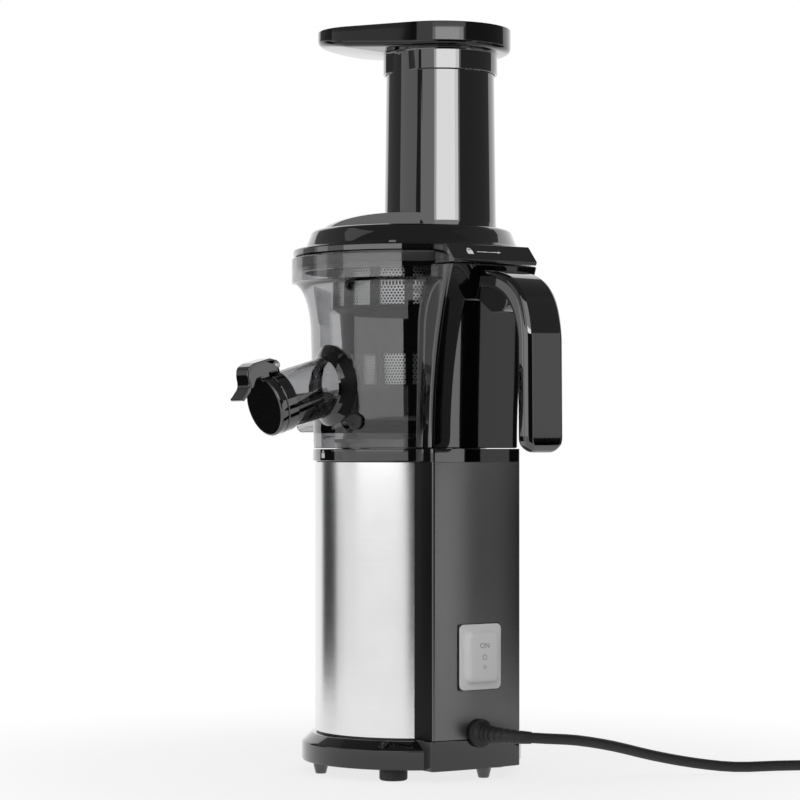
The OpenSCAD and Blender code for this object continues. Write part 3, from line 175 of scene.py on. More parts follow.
def loft(name, rings, closed_path=False, smooth=SMOOTH):
    """Joins rings of points into a skin; a ring of one point is a tip."""
    bm = bmesh.new()
    rows = [[bm.verts.new(p) for p in ring] for ring in rings]
    for a, b in zip(rows, rows[1:] + rows[:1] if closed_path else rows[1:]):
        for k in range(max(len(a), len(b))):
            j = k + 1
            corners = (a[k % len(a)], a[j % len(a)], b[j % len(b)], b[k % len(b)])
            face = list(dict.fromkeys(corners))
            if len(face) > 2:
                bm.faces.new(face)
    if not closed_path:
        bm.faces.new(list(reversed(rows[0])))
        bm.faces.new(rows[-1])
    return new_piece(name, bm, smooth)


def turned(name, profile, steps=128, centre=(0, 0)):
    """Turns a closed outline of (radius, height) points round the upright axis."""
    rings = [[(centre[0] + r * math.cos(2 * math.pi * k / steps),
               centre[1] + r * math.sin(2 * math.pi * k / steps), z) for k in range(steps if r else 1)]
             for r, z in profile]
    return loft(name, rings, closed_path=True)


def bar(name, radius, low, high, steps=64, centre=(0, 0)):
    return turned(name, [(0, low), (radius, low), (radius, high), (0, high)], steps, centre)


def rect(u0, v0, u1, v1):
    return [(u0, v0), (u1, v0), (u1, v1), (u0, v1)]


def arc(radius, start, end, steps, centre=(0, 0)):
    """Points along an arc, with its angles in degrees."""
    turns = [math.radians(start + (end - start) * k / steps) for k in range(steps + 1)]
    return [(centre[0] + radius * math.cos(a), centre[1] + radius * math.sin(a)) for a in turns]


def rounded(points, radii, steps=5):
    """Rounds each corner of a closed outline by its radius; nearly straight or folded ones stay."""
    out = []
    n = len(points)
    for i, p in enumerate(points):
        r = radii[i] if isinstance(radii, (list, tuple)) else radii
        p, a, b = Vector(p), Vector(points[i - 1]), Vector(points[(i + 1) % n])
        u, v = a - p, b - p
        lu, lv = u.length, v.length
        if r <= 0 or min(lu, lv) < 1e-6:
            out.append(tuple(p))
            continue
        u, v = u / lu, v / lv
        turn = math.acos(max(-1, min(1, u.dot(v))))
        if turn > math.radians(176) or turn < math.radians(4):
            out.append(tuple(p))
            continue
        trim = min(r / math.tan(turn / 2), 0.49 * lu, 0.49 * lv)
        real = trim * math.tan(turn / 2)
        centre = p + (u + v).normalized() * (real / math.sin(turn / 2))
        start, end = p + u * trim - centre, p + v * trim - centre
        for k in range(steps + 1):
            spoke = start.lerp(end, k / steps)
            spoke = spoke.normalized() * real if spoke.length > 1e-9 else spoke
            out.append(tuple(centre + spoke))
    return out


def shrunk(outline, inset):
    """Moves every point of a closed outline inwards along its corner's bisector."""
    if inset == 0:
        return [tuple(p) for p in outline]
    n = len(outline)
    area = sum(outline[i][0] * outline[(i + 1) % n][1] - outline[(i + 1) % n][0] * outline[i][1]
               for i in range(n))
    sign = 1 if area > 0 else -1
    out = []
    for i in range(n):
        p, a, b = Vector(outline[i]), Vector(outline[i - 1]), Vector(outline[(i + 1) % n])
        e1, e2 = p - a, b - p
        if e1.length < 1e-7:
            e1 = e2
        if e2.length < 1e-7:
            e2 = e1
        n1 = Vector((-e1.y, e1.x)).normalized() * sign
        n2 = Vector((-e2.y, e2.x)).normalized() * sign
        m = n1 + n2
        m = m / max(0.35, m.length_squared / 2) if m.length > 1e-6 else n1
        out.append(tuple(p + m * inset))
    return out


def facing_x(x=0, z=0):
    """Maps (u, v, w) so that the outline faces +X, with its origin at height z."""
    return lambda u, v, w: (x + w, u, z + v)


def facing_y(u, v, w):
    return u, w, v


def slab(name, outline, low, high, edge=0.0, to=lambda u, v, w: (u, v, w)):
    """Raises an outline into a slab with softened rims; `to` maps (u, v, w) to a point."""
    levels = [(0, low), (0, high)]
    if edge > 0:
        levels = [(edge, low), (0.3 * edge, low + 0.3 * edge), (0.0, low + edge), (0.0, high - edge),
                  (0.3 * edge, high - 0.3 * edge), (edge, high)]
    return loft(name, [[to(u, v, w) for u, v in shrunk(outline, inset)] for inset, w in levels])


def bezier(a, b, c, d, t):
    a, b, c, d = Vector(a), Vector(b), Vector(c), Vector(d)
    s = 1 - t
    return a * s ** 3 + b * 3 * s * s * t + c * 3 * s * t * t + d * t ** 3


def smooth_path(points, per=6):
    """A smooth line through the points, with `per` steps between each two of them."""
    pts = [Vector(p) for p in points]
    pts = [2 * pts[0] - pts[1]] + pts + [2 * pts[-1] - pts[-2]]
    out = []
    for i in range(1, len(pts) - 2):
        p0, p1, p2, p3 = pts[i - 1:i + 3]
        for k in range(per):
            t = k / per
            out.append(0.5 * ((2 * p1) + (p2 - p0) * t + (2 * p0 - 5 * p1 + 4 * p2 - p3) * t * t
                              + (3 * p1 - p0 - 3 * p2 + p3) * t ** 3))
    out.append(pts[-2])
    return out


def tube_along(name, path, radii, sides=16, smooth=60.0):
    """A round tube along a path, with one radius for each of its points."""
    rings = []
    for i, (p, r) in enumerate(zip(path, radii)):
        ahead = (path[min(i + 1, len(path) - 1)] - path[max(i - 1, 0)]).normalized()
        side = Vector((0, 0, 1)).cross(ahead)
        side = side.normalized() if side.length > 1e-4 else Vector((1, 0, 0))
        up = ahead.cross(side)
        rings.append([p + (side * math.cos(a) + up * math.sin(a)) * r
                      for a in (2 * math.pi * k / sides for k in range(sides))])
    return loft(name, rings, smooth=smooth)


# Node tools
def wired(tree, kind, inputs, out=0, **settings):
    """Adds a node and returns its output `out`; an input takes a value or the output that feeds it."""
    node = tree.nodes.new(kind)
    for name, value in settings.items():
        setattr(node, name, value)
    for key, value in inputs.items():
        if isinstance(value, bpy.types.NodeSocket):
            tree.links.new(value, node.inputs[key])
        else:
            node.inputs[key].default_value = value
    return node.outputs[out]


def maths(tree, operation, *values, clamp=False):
    return wired(tree, "ShaderNodeMath", dict(enumerate(values)), operation=operation, use_clamp=clamp)


def vectors(tree, operation, *values, out="Vector"):
    return wired(tree, "ShaderNodeVectorMath", dict(enumerate(values)), out, operation=operation)


def object_place(tree):
    return wired(tree, "ShaderNodeTexCoord", {}, "Object")


def object_xyz(tree):
    split = tree.nodes.new("ShaderNodeSeparateXYZ")
    tree.links.new(object_place(tree), split.inputs[0])
    return split.outputs


def noise(tree, vector, **inputs):
    return wired(tree, "ShaderNodeTexNoise", {"Vector": vector, **inputs}, "Fac")


def drifted(tree, pattern, share, base, clamp=False):
    """The base value, plus a share of how far the pattern is from its middle."""
    return maths(tree, "MULTIPLY_ADD", maths(tree, "SUBTRACT", pattern, 0.5), share, base, clamp=clamp)


def surface_group(name, inputs):
    """Starts a shader group with these inputs, which gives a colour, a roughness and a normal."""
    tree = bpy.data.node_groups.new(name, "ShaderNodeTree")
    kinds = {1: "NodeSocketFloat", 3: "NodeSocketVector", 4: "NodeSocketColor"}
    for title, value in inputs.items():
        size = len(value) if isinstance(value, tuple) else 1
        socket = tree.interface.new_socket(name=title, in_out="INPUT", socket_type=kinds[size])
        socket.default_value = value
    for title, size in (("Color", 4), ("Roughness", 1), ("Normal", 3)):
        tree.interface.new_socket(name=title, in_out="OUTPUT", socket_type=kinds[size])
    return tree, tree.nodes.new("NodeGroupInput").outputs


def end_surface(tree, given, tone, rough, height, depth):
    """Ends a shader group: the base colour times the tone, the roughness, and a bump of the height."""
    go = tree.nodes.new("NodeGroupOutput")
    colour = wired(tree, "ShaderNodeVectorMath", {0: given["Base"], "Scale": tone}, operation="SCALE")
    normal = wired(tree, "ShaderNodeBump", {"Distance": depth, "Strength": given["Bump"],
                   "Height": height}, "Normal")
    for title, end in (("Color", colour), ("Roughness", rough), ("Normal", normal)):
        tree.links.new(end, go.inputs[title])
    return tree


def moulded_surface():
    """Moulded plastic: broad colour drift, fine grain, faint handling marks and a soft bump."""
    tree, given = surface_group("moulded surface", {
        "Base": (0.02, 0.02, 0.02, 1), "Drift": 0.1, "Grain Size": 900.0, "Roughness": 0.3,
        "Marks": 0.1, "Bump": 0.1})
    place = object_place(tree)
    tone = drifted(tree, noise(tree, place, Scale=24, Detail=3), given["Drift"], 1.0)
    marks = noise(tree, place, Scale=60, Detail=6, Distortion=1.2)
    rough = drifted(tree, marks, given["Marks"], given["Roughness"], clamp=True)
    grain = noise(tree, place, Scale=given["Grain Size"], Detail=2)
    return end_surface(tree, given, tone, rough, grain, 0.0002)


def metal_surface():
    """Worked metal: fine streaks along one direction, broad tarnish and a streaky bump."""
    tree, given = surface_group("worked metal", {
        "Base": (0.6, 0.6, 0.6, 1), "Stretch": (1, 1, 1), "Roughness": 0.3, "Streaks": 0.15,
        "Tarnish": 0.1, "Bump": 0.1})
    place = object_place(tree)
    lines = noise(tree, vectors(tree, "MULTIPLY", place, given["Stretch"]), Scale=1, Detail=4,
                  Roughness=0.7)
    tone = drifted(tree, noise(tree, place, Scale=30, Detail=3), given["Tarnish"],
                   drifted(tree, lines, given["Tarnish"], 1.0))
    rough = drifted(tree, lines, given["Streaks"], given["Roughness"], clamp=True)
    return end_surface(tree, given, tone, rough, lines, 0.0001)


MOULDED = moulded_surface()
WORKED = metal_surface()


def new_material(name, shader_values):
    material = bpy.data.materials.new(name)
    material.use_nodes = True
    bsdf = material.node_tree.nodes["Principled BSDF"]
    for title, value in shader_values.items():
        bsdf.inputs[title].default_value = value
    return material, material.node_tree, bsdf


def skinned(name, group, skin_values, shader_values):
    """A material whose colour, roughness and normal come from a surface group."""
    material, tree, bsdf = new_material(name, shader_values)
    skin = tree.nodes.new("ShaderNodeGroup")
    skin.node_tree = group
    for title, value in skin_values.items():
        skin.inputs[title].default_value = value
    for title, socket in (("Color", "Base Color"), ("Roughness", "Roughness"), ("Normal", "Normal")):
        tree.links.new(skin.outputs[title], bsdf.inputs[socket])
    return material


def plastic(name, base, roughness, grain=900.0, bump=0.1, drift=0.2, marks=0.08, coat=0.0,
            coat_rough=0.03, coat_ior=1.5, ior=1.5, transmission=0.0):
    material = skinned(name, MOULDED,
                       {"Base": (*base, 1), "Drift": drift, "Grain Size": grain, "Roughness": roughness,
                        "Marks": marks, "Bump": bump},
                       {"IOR": ior, "Coat Weight": coat, "Coat Roughness": coat_rough,
                        "Coat IOR": coat_ior, "Transmission Weight": transmission})
    material.diffuse_color = (*base, 1)
    return material


def metal(name, base, roughness, stretch, streaks=0.15, tarnish=0.12, bump=0.1):
    material = skinned(name, WORKED, {"Base": (*base, 1), "Stretch": stretch, "Roughness": roughness,
                       "Streaks": streaks, "Tarnish": tarnish, "Bump": bump}, {"Metallic": 1.0})
    material.diffuse_color = (*base, 1)
    return material


def perforated(name, base, holes_round, radius, hole):
    """Sheet steel with rows of round holes, laid out round the upright axis."""
    material = skinned(name, WORKED, {"Base": (*base, 1), "Stretch": (300, 300, 300),
                                      "Roughness": 0.35}, {"Metallic": 1.0})
    tree = material.node_tree
    pitch = 2 * math.pi * radius * MM / holes_round
    two_rows = math.sqrt(3)
    x, y, z = object_xyz(tree)
    cells = wired(tree, "ShaderNodeCombineXYZ", {
        0: maths(tree, "MULTIPLY", maths(tree, "ARCTAN2", y, x), holes_round / (2 * math.pi)),
        1: maths(tree, "DIVIDE", z, pitch * two_rows)})
    gaps = []
    for shift in (0.0, 0.5):
        cell = vectors(tree, "FRACTION", vectors(tree, "ADD", cells, (shift, shift, 0.0)))
        centred = vectors(tree, "SUBTRACT", cell, (0.5, 0.5, 0.0))
        even = vectors(tree, "MULTIPLY", centred, (1, two_rows, 0))
        gaps.append(vectors(tree, "LENGTH", even, out="Value"))
    sheet_there = maths(tree, "GREATER_THAN", maths(tree, "MINIMUM", *gaps), hole * MM / pitch / 2)
    tree.links.new(sheet_there, tree.nodes["Principled BSDF"].inputs["Alpha"])
    return material


# Finishes
INK = (0.0018, 0.0018, 0.002)
GLOSS = {"grain": 260, "drift": 0.3, "coat": 1.0}
gloss_black = plastic("gloss black plastic", INK, 0.06, bump=0.015, marks=0.03, coat_rough=0.02,
                      coat_ior=1.8, ior=1.3, **GLOSS)
base_black = plastic("black base plastic", INK, 0.08, bump=0.02, marks=0.04, coat_ior=1.55, ior=1.3,
                     **GLOSS)
tray_black = plastic("black tray plastic", INK, 0.07, bump=0.015, marks=0.03, coat_ior=1.36, ior=1.25,
                     **GLOSS)
satin_black = plastic("satin black plastic", (0.014, 0.014, 0.015), 0.42, grain=1400, bump=0.25)
spine_black = plastic("satin back, polished sides", (0.004, 0.004, 0.0042), 0.25, grain=1600, bump=0.12,
                      marks=0.05, ior=2.15)
# Painted shade: a darker, duller copy of the black plastic, for the spine's side faces and the right
# side of the ring round the spout's root
painted_shade_black = plastic("matt back sides", (0.002, 0.002, 0.0022), 0.3, grain=1600, bump=0.05, ior=1.2)
rubber_black = plastic("black rubber", (0.012, 0.012, 0.012), 0.55, grain=700, bump=0.35, drift=0.3)
seal_grey = plastic("grey silicone", (0.16, 0.16, 0.165), 0.5, grain=500, bump=0.2)
switch_grey = plastic("translucent switch silicone", (0.8, 0.8, 0.81), 0.42, grain=500, bump=0.15,
                      drift=0.08)
print_white = plastic("printed white mark", (0.75, 0.75, 0.75), 0.5, grain=3000)
print_grey = plastic("printed grey mark", (0.3, 0.3, 0.3), 0.5, grain=3000)
ivory_plastic = plastic("ivory gear plastic", (0.72, 0.68, 0.58), 0.4, bump=0.2)
white_plastic = plastic("white plastic", (0.78, 0.78, 0.77), 0.4, bump=0.15)
board_green = plastic("circuit board lacquer", (0.02, 0.13, 0.05), 0.35, grain=1200, bump=0.3,
                      drift=0.6)
# Painted shade: the strainer's own black plastic is darkened further and made barely reflective, for
# the shade inside the bowl
strainer_shade_black = plastic("dark strainer plastic", (0.0022, 0.0022, 0.0024), 0.3, grain=500, bump=0.0,
                        ior=1.12)
smoke = plastic("smoky clear plastic", (0.97, 0.97, 0.975), 0.02, grain=200, bump=0.01, drift=0.03,
                marks=0.01, ior=1.7, transmission=1.0)
steel = metal("turned steel", (0.56, 0.56, 0.57), 0.28, (300, 300, 1500))
die_cast = metal("die cast alloy", (0.55, 0.56, 0.58), 0.5, (500, 500, 500), bump=0.35)
brass = metal("brass", (0.68, 0.5, 0.24), 0.32, (400, 400, 400))
copper = metal("lacquered copper wire", (0.5, 0.23, 0.11), 0.36, (300, 300, 2600), bump=0.4)
magnet = metal("sintered magnet", (0.16, 0.16, 0.17), 0.5, (800, 800, 800), bump=0.3)
sleeve_steel = metal("brushed sleeve steel", (0.82, 0.82, 0.825), 0.22, (14, 14, 5200), streaks=0.12,
                     bump=0.12)
mesh_steel = perforated("perforated strainer steel", (0.95, 0.95, 0.95), 140, 41, 1.36)

smoke_tint = wired(smoke.node_tree, "ShaderNodeVolumeAbsorption",
                   {"Color": (0.03, 0.035, 0.05, 1), "Density": 210})
smoke.node_tree.links.new(smoke_tint, smoke.node_tree.nodes["Material Output"].inputs["Volume"])


def skin_of(material):
    return next(node for node in material.node_tree.nodes if node.type == "GROUP").outputs


def polished_beyond(material, half_width, polished):
    """Gives a polished roughness where |y| passes the half width, in millimetres."""
    tree = material.node_tree
    beyond = maths(tree, "GREATER_THAN", maths(tree, "ABSOLUTE", object_xyz(tree)[1]), half_width * MM)
    mixed = wired(tree, "ShaderNodeMix", {"Factor": beyond, "A": skin_of(material)["Roughness"],
                                          "B": polished}, data_type="FLOAT")
    tree.links.new(mixed, tree.nodes["Principled BSDF"].inputs["Roughness"])


# The thick ring round the spout's root, seen from the front: its centre's height, its radii in
# millimetres, and how much its height is pressed to make it round
SADDLE_Z, SADDLE_IN, SADDLE_OUT, SADDLE_PRESS = 223.2, 17.0, 22.6, 0.97


def paint_saddle_shade(material):
    """Paints shade into the smoke's colour on the right half of the ring round the spout's root."""
    tree = material.node_tree
    x, y, z = object_xyz(tree)
    from_axis = vectors(tree, "MULTIPLY_ADD", object_place(tree), (1 / MM, 0, SADDLE_PRESS / MM),
                        (0, 0, -SADDLE_PRESS * SADDLE_Z))
    on_ring = maths(tree, "COMPARE", vectors(tree, "LENGTH", from_axis, out="Value"),
                    (SADDLE_IN + SADDLE_OUT) / 2, (SADDLE_OUT - SADDLE_IN) / 2)
    front_right = maths(tree, "MULTIPLY", maths(tree, "GREATER_THAN", x, 4 * MM),
                        maths(tree, "LESS_THAN", y, -50 * MM))
    # Painted shade: the ring's right half is mixed towards near black
    shade_mask = maths(tree, "MULTIPLY", on_ring, front_right)
    first_colour, second_colour, colour_result = 6, 7, 2
    mixed = wired(tree, "ShaderNodeMix", {"Factor": shade_mask, first_colour: skin_of(material)["Color"],
                                          second_colour: (0.02, 0.02, 0.022, 1)}, colour_result,
                  data_type="RGBA")
    tree.links.new(mixed, tree.nodes["Principled BSDF"].inputs["Base Color"])


polished_beyond(spine_black, 30.6, 0.04)
paint_saddle_shade(smoke)

# The solids' own finishes, which show where no piece replaces them
for finish, nodes in (
        (gloss_black, "base_cover top_deck juicing_bowl rear_column handle spout_ring spout_cap lid"
                      " feeding_tray"),
        (satin_black, "motor_housing motor_fan microswitch switch_body cord_clamp plug_body drain_plug"
                      " strainer_frame auger"),
        (rubber_black, "rubber_feet cord_gland power_cord cord_coil"),
        (steel, "base_screws deck_screws motor_can gearbox_screws lay_pins second_gear output_gear"
                " drive_shaft shaft_bearings plunger_spring handle_screws cap_hinge_pin strainer_mesh"),
        (ivory_plastic, "motor_end_cap first_gear plunger auger_bush"),
        (seal_grey, "shaft_seal bowl_gasket bowl_seal cap_seal lid_seal"),
        (die_cast, "gearbox_case gearbox_cover"), (brass, "motor_brushes plug_pins"),
        (white_plastic, "switch_rocker cord_tie"), (sleeve_steel, "steel_sleeve"),
        (spine_black, "rear_cover"), (magnet, "motor_magnets"), (copper, "motor_rotor"),
        (board_green, "control_board"), (switch_grey, "switch_cover")):
    for node in nodes.split():
        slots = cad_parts[node].data.materials
        slots.clear()
        slots.append(finish)


def fit(piece, material, body, *nodes, slot=None):
    """Finishes a piece: its normals, material, body and the nodes it replaces; its slot argument is not
    used.
    """
    evened(piece)
    piece.data.materials.clear()
    piece.data.materials.append(material)
    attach(piece, body)
    if nodes:
        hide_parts(*nodes)
    return piece


def repaint(piece, material, chosen):
    """Gives a second material to the faces that `chosen` picks."""
    piece.data.materials.append(material)
    for face in piece.data.polygons:
        if chosen(face):
            face.material_index = 1


# Stage: pale floor, soft panels and dark flags round the object, white surround
def emission(name, strength):
    return new_material(name, {"Base Color": (0, 0, 0, 1), "Roughness": 1.0, "Specular IOR Level": 0.0,
                               "Emission Color": (1, 1, 1, 1), "Emission Strength": strength})[0]


def panel(name, start, end, low, high, strength, radius):
    """A curved upright panel; angles run from the camera's direction, positive to the image's right."""
    bm = bmesh.new()
    steps = max(2, int(abs(end - start) / 3))
    rows = []
    for k in range(steps + 1):
        a = math.radians(VIEW_AZIMUTH + start + (end - start) * k / steps)
        rows.append([bm.verts.new((radius * math.cos(a), radius * math.sin(a), z))
                     for z in (low, high)])
    for a, b in zip(rows, rows[1:]):
        bm.faces.new((a[0], a[1], b[1], b[0]))
    piece = new_piece(name, bm)
    piece.data.materials.append(emission(name, strength))
    piece.visible_camera = False


# Each panel: name, start and end angle, low and high edge, strength. The far ring lights the chute, the
# tray and the lid, and the near one the bowl and the housing.
FAR_PANELS = [
    ("key_left", -12.5, -8, 455, 725, 3.4), ("key_panel", -8, 30, 455, 725, 7.0),
    ("key_right", 30, 37, 455, 725, 5.4), ("key_end", 37, 40.5, 455, 725, 0.95),
    ("key_top", -12.5, 40.5, 725, 2000, 1.8), ("soft_panel", -38.5, -12.5, 455, 2000, 1.25),
    ("left_panel", -92, -49.5, 455, 725, 0.85), ("left_top", -92, -49.5, 725, 2000, 0.5),
    ("flag_1", -49.5, -38.5, 455, 2200, 0.1), ("flag_2", -142, -92, 455, 2200, 0.18),
    ("flag_3", 40.5, 122, 455, 2200, 0.15)]
NEAR_PANELS = [
    ("low_flag_1", -128, -97, 0, 185, 0.02), ("low_flag_2", -128, -102.5, 185, 251, 0.02),
    ("low_flag_3", -124, -102.5, 251, 360, 0.36), ("low_edge", -97, -84, 0, 185, 0.7),
    ("low_edge_1", -102.5, -98, 185, 360, 0.75), ("low_edge_2", -98, -84, 185, 360, 1.4),
    ("low_gap", -84, -65, 0, 185, 0.85), ("low_gap_top", -84, -65, 185, 360, 0.75),
    ("low_soft", -65, -4, 0, 185, 0.9), ("low_soft_top", -65, -9, 185, 360, 1.7),
    ("low_flag_4", -4, 44, 0, 185, 0.02), ("low_flag_5", -9, 52, 185, 360, 0.02),
    ("low_back_0", 44, 52, 0, 185, 1.25), ("low_back_1", 52, 62.4, 0, 360, 1.25),
    ("low_flag_6", 62.4, 68.4, 0, 200, 0.0), ("low_back_2", 68.4, 79.5, 0, 200, 0.42),
    ("low_flag_8", 79.5, 92, 0, 200, 0.02), ("low_back_3", 62.4, 92, 200, 360, 0.65),
    ("low_flag_7", 92, 125, 0, 360, 0.08)]
for ring_radius, ring_panels in ((1750.0, FAR_PANELS), (600.0, NEAR_PANELS)):
    for entry in ring_panels:
        panel(*entry, ring_radius)

ceiling_bm = bmesh.new()
bmesh.ops.create_circle(ceiling_bm, cap_ends=True, segments=64, radius=2100)
ceiling = placed(new_piece("ceiling", ceiling_bm), at(0, 0, 2000))
ceiling.data.materials.append(emission("ceiling", 0.12))
for ray_kind in ("visible_camera", "visible_transmission", "visible_diffuse", "visible_shadow"):
    setattr(ceiling, ray_kind, False)


def floor_material():
    """Pale matt floor that camera, mirror and clear rays see fade to white away from the object."""
    material, tree, bsdf = new_material("pale floor", {"Roughness": 0.9, "Specular IOR Level": 0.1})
    place = object_place(tree)
    tone = wired(tree, "ShaderNodeMapRange", {"Value": noise(tree, place, Scale=40), "To Min": 0.88,
                                              "To Max": 0.9})
    colour = wired(tree, "ShaderNodeCombineColor", {0: tone, 1: tone, 2: tone})
    tree.links.new(colour, bsdf.inputs["Base Color"])
    fade = wired(tree, "ShaderNodeMapRange",
                 {"Value": vectors(tree, "LENGTH", place, out="Value"), "From Min": 0.10,
                  "From Max": 0.42, "To Min": 0.78}, interpolation_type="SMOOTHSTEP")
    path = tree.nodes.new("ShaderNodeLightPath").outputs
    seen = maths(tree, "MAXIMUM", path["Is Camera Ray"], path["Is Glossy Ray"])
    seen = maths(tree, "MAXIMUM", seen, path["Is Transmission Ray"])
    white = wired(tree, "ShaderNodeEmission", {})
    mixed = wired(tree, "ShaderNodeMixShader", {"Fac": maths(tree, "MULTIPLY", fade, seen),
                                                1: bsdf.outputs[0], 2: white})
    tree.links.new(mixed, tree.nodes["Material Output"].inputs["Surface"])
    return material


floor_bm = bmesh.new()
bmesh.ops.create_grid(floor_bm, x_segments=1, y_segments=1, size=6000)
floor = new_piece("floor", floor_bm)
floor.data.materials.append(floor_material())

# White surround at half strength for diffuse rays
world = bpy.data.worlds.new("studio")
stage_scene.world = world
world.use_nodes = True
sky = world.node_tree.nodes["Background"]
diffuse_ray = wired(world.node_tree, "ShaderNodeLightPath", {}, "Is Diffuse Ray")
dim = wired(world.node_tree, "ShaderNodeMapRange", {"Value": diffuse_ray, "To Min": 1.0, "To Max": 0.5})
world.node_tree.links.new(dim, sky.inputs["Strength"])
sky.inputs["Color"].default_value = (1, 1, 1, 1)


def ring_tree():
    """Copies of one part, evenly round a ring."""
    tree = bpy.data.node_groups.new("ring of copies", "GeometryNodeTree")
    tree.is_modifier = True
    for title, kind in (("Geometry", "Geometry"), ("Part", "Object"), ("Count", "Int"),
                        ("Turn", "Float"), ("Finish", "Material")):
        tree.interface.new_socket(name=title, in_out="INPUT", socket_type="NodeSocket" + kind)
    tree.interface.new_socket(name="Geometry", in_out="OUTPUT", socket_type="NodeSocketGeometry")
    given, go = tree.nodes.new("NodeGroupInput").outputs, tree.nodes.new("NodeGroupOutput")
    spots = wired(tree, "GeometryNodePoints", {"Radius": 0.001, "Count": given["Count"]})
    part = wired(tree, "GeometryNodeObjectInfo", {"Object": given["Part"]}, "Geometry")
    share = maths(tree, "DIVIDE", wired(tree, "GeometryNodeInputIndex", {}), given["Count"])
    turn = wired(tree, "ShaderNodeCombineXYZ",
                 {2: maths(tree, "MULTIPLY_ADD", share, 2 * math.pi, given["Turn"])})
    copies = wired(tree, "GeometryNodeInstanceOnPoints", {"Points": spots, "Instance": part,
                   "Rotation": turn})
    real = wired(tree, "GeometryNodeRealizeInstances", {0: copies})
    finished = wired(tree, "GeometryNodeSetMaterial", {"Geometry": real, "Material": given["Finish"]})
    tree.links.new(finished, go.inputs[0])
    return tree


RING = ring_tree()


def ring_copies(name, part, count, first_angle, finish):
    """Repeats `part`, made at its place on the +X side, `count` times round the upright axis."""
    holder = linked(name, bpy.data.meshes.new(name))
    step = holder.modifiers.new("copies", "NODES")
    step.node_group = RING
    sockets = {item.name: item.identifier for item in RING.interface.items_tree
               if item.in_out == "INPUT"}
    for title, value in (("Part", part), ("Count", count), ("Turn", math.radians(first_angle)),
                         ("Finish", finish)):
        step[sockets[title]] = value
    applied(holder)
    bpy.data.objects.remove(part)
    shade(holder)
    return holder


# Back outline of the base, spine and deck: straight sides and a back that bulges on a large radius
SPINE_HALF, BULGE_R, BULGE_X = 31.0, 241.25, -175.25


def spine_back_arc(inset, steps=12):
    half = SPINE_HALF - inset
    return [(BULGE_X + math.sqrt((BULGE_R - inset) ** 2 - y * y), y)
            for y in (half * (2 * k / steps - 1) for k in range(steps + 1))]


def spine_outline(front, inset=0.0, corner=2.0):
    back = spine_back_arc(inset)
    points = [(front, inset - SPINE_HALF)] + back + [(front, SPINE_HALF - inset)]
    return rounded(points, [0, corner] + [0] * (len(back) - 2) + [corner, 0])


# Microswitch spring: a coil of wire in the place of the solid's spring
spring_low, spring_high = [Vector(corner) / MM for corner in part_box("plunger_spring")]
WIRE, SPRING_TURNS, PLUNGER_TRAVEL = 0.35, 7, 2.5
spring_centre = (spring_low + spring_high) / 2
spring_r = (spring_high.x - spring_low.x) / 2 - WIRE
spring_rise = spring_high.z - spring_low.z - 2 * WIRE
spring_line = [Vector((spring_centre.x + spring_r * math.cos(math.radians(30 * i)),
                       spring_centre.y + spring_r * math.sin(math.radians(30 * i)),
                       spring_low.z + WIRE + spring_rise * i / (12 * SPRING_TURNS)))
               for i in range(12 * SPRING_TURNS + 1)]
spring = tube_along("coil_spring", spring_line, [WIRE] * len(spring_line), 8)
fit(spring, steel, "base", "plunger_spring", slot="steel")
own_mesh(spring)

# Power cord: its route over the floor, then the coil, all in millimetres
CORD_D, CORD_Z = 6.0, 27
ROUTE = [
    (72, 0, CORD_Z), (84, 0.5, 27.2), (96.5, 6, 27), (105, 18, 26.2), (109, 36, 24.5), (111, 60, 20),
    (113, 88, 13), (118, 114, 7.6), (126, 138, 4.4), (136, 162, 4.4), (148, 186, 4.4), (160, 209, 4.4),
    (172, 232, 4.4)]
COIL_PITCH, COIL_LAYER, COIL_TURNS, COIL_R = 6.8, 6.7, 4, 39.8
route_turn = math.atan2(ROUTE[-1][1] - ROUTE[-2][1], ROUTE[-1][0] - ROUTE[-2][0])
lead = Vector((math.cos(route_turn), math.sin(route_turn), 0))
aside = Vector((-math.sin(route_turn), math.cos(route_turn), 0))
route_end = Vector(ROUTE[-1])
coil_centre = route_end + lead * CORD_D + aside * COIL_R


def coil_radius(turn):
    return COIL_R - COIL_PITCH * min(turn, COIL_TURNS - turn)


def coil_point(turn):
    """A point of the cord's coil; half way along, the coil climbs to its second layer."""
    u = min(1.0, max(0.0, (turn - COIL_TURNS / 2 + 0.25) * 2))
    a = route_turn - math.pi / 2 + 2 * math.pi * turn
    r = coil_radius(turn)
    climb = COIL_LAYER * (1 - math.cos(math.pi * u)) / 2
    return coil_centre + Vector((r * math.cos(a), r * math.sin(a), climb))


coil_loops = [coil_point(i / 24) for i in range(24 * COIL_TURNS + 1)]
coil_last = coil_loops[-1]
drop = Vector((0, 0, 7.0 - coil_last.z))
tail = [coil_last + lead * 15, coil_last + lead * 24, coil_last + lead * 36 + drop * 0.5,
        coil_last + lead * 48 + drop, coil_last + lead * 54 + drop]
route_line = smooth_path(ROUTE, 3)
cord_line = route_line + [route_end + lead * 3] + coil_loops + smooth_path([coil_last] + tail, 2)[1:]
plug_at = cord_line[-1]
cord_length = sum((b - a).length for a, b in zip(cord_line, cord_line[1:])) * MM
cord_piece = tube_along("cord", cord_line, [CORD_D / 2] * len(cord_line), 20)
fit(cord_piece, rubber_black, "base", "power_cord", "cord_coil", slot="rubber")

# Tie round the coil
tie_low, tie_high = coil_radius(1.5) - 4.4, coil_radius(0.5) + 4.4
tie_outer = rounded(rect(tie_low, 0.2, tie_high, 15.5), 3.0, 6)
tie_inner = shrunk(tie_outer, 0.8)
tie_levels = ((tie_outer, -2.5), (tie_outer, 2.5), (tie_inner, 2.5), (tie_inner, -2.5))
tie = loft("tie", [[(u, across, v) for u, v in outline] for outline, across in tie_levels],
           closed_path=True)
tie_place = at(coil_centre.x, coil_centre.y, 0) @ Matrix.Rotation(route_turn + math.pi / 2, 4, "Z")
fit(placed(tie, tie_place), white_plastic, "base", "cord_tie", slot="white_plastic")

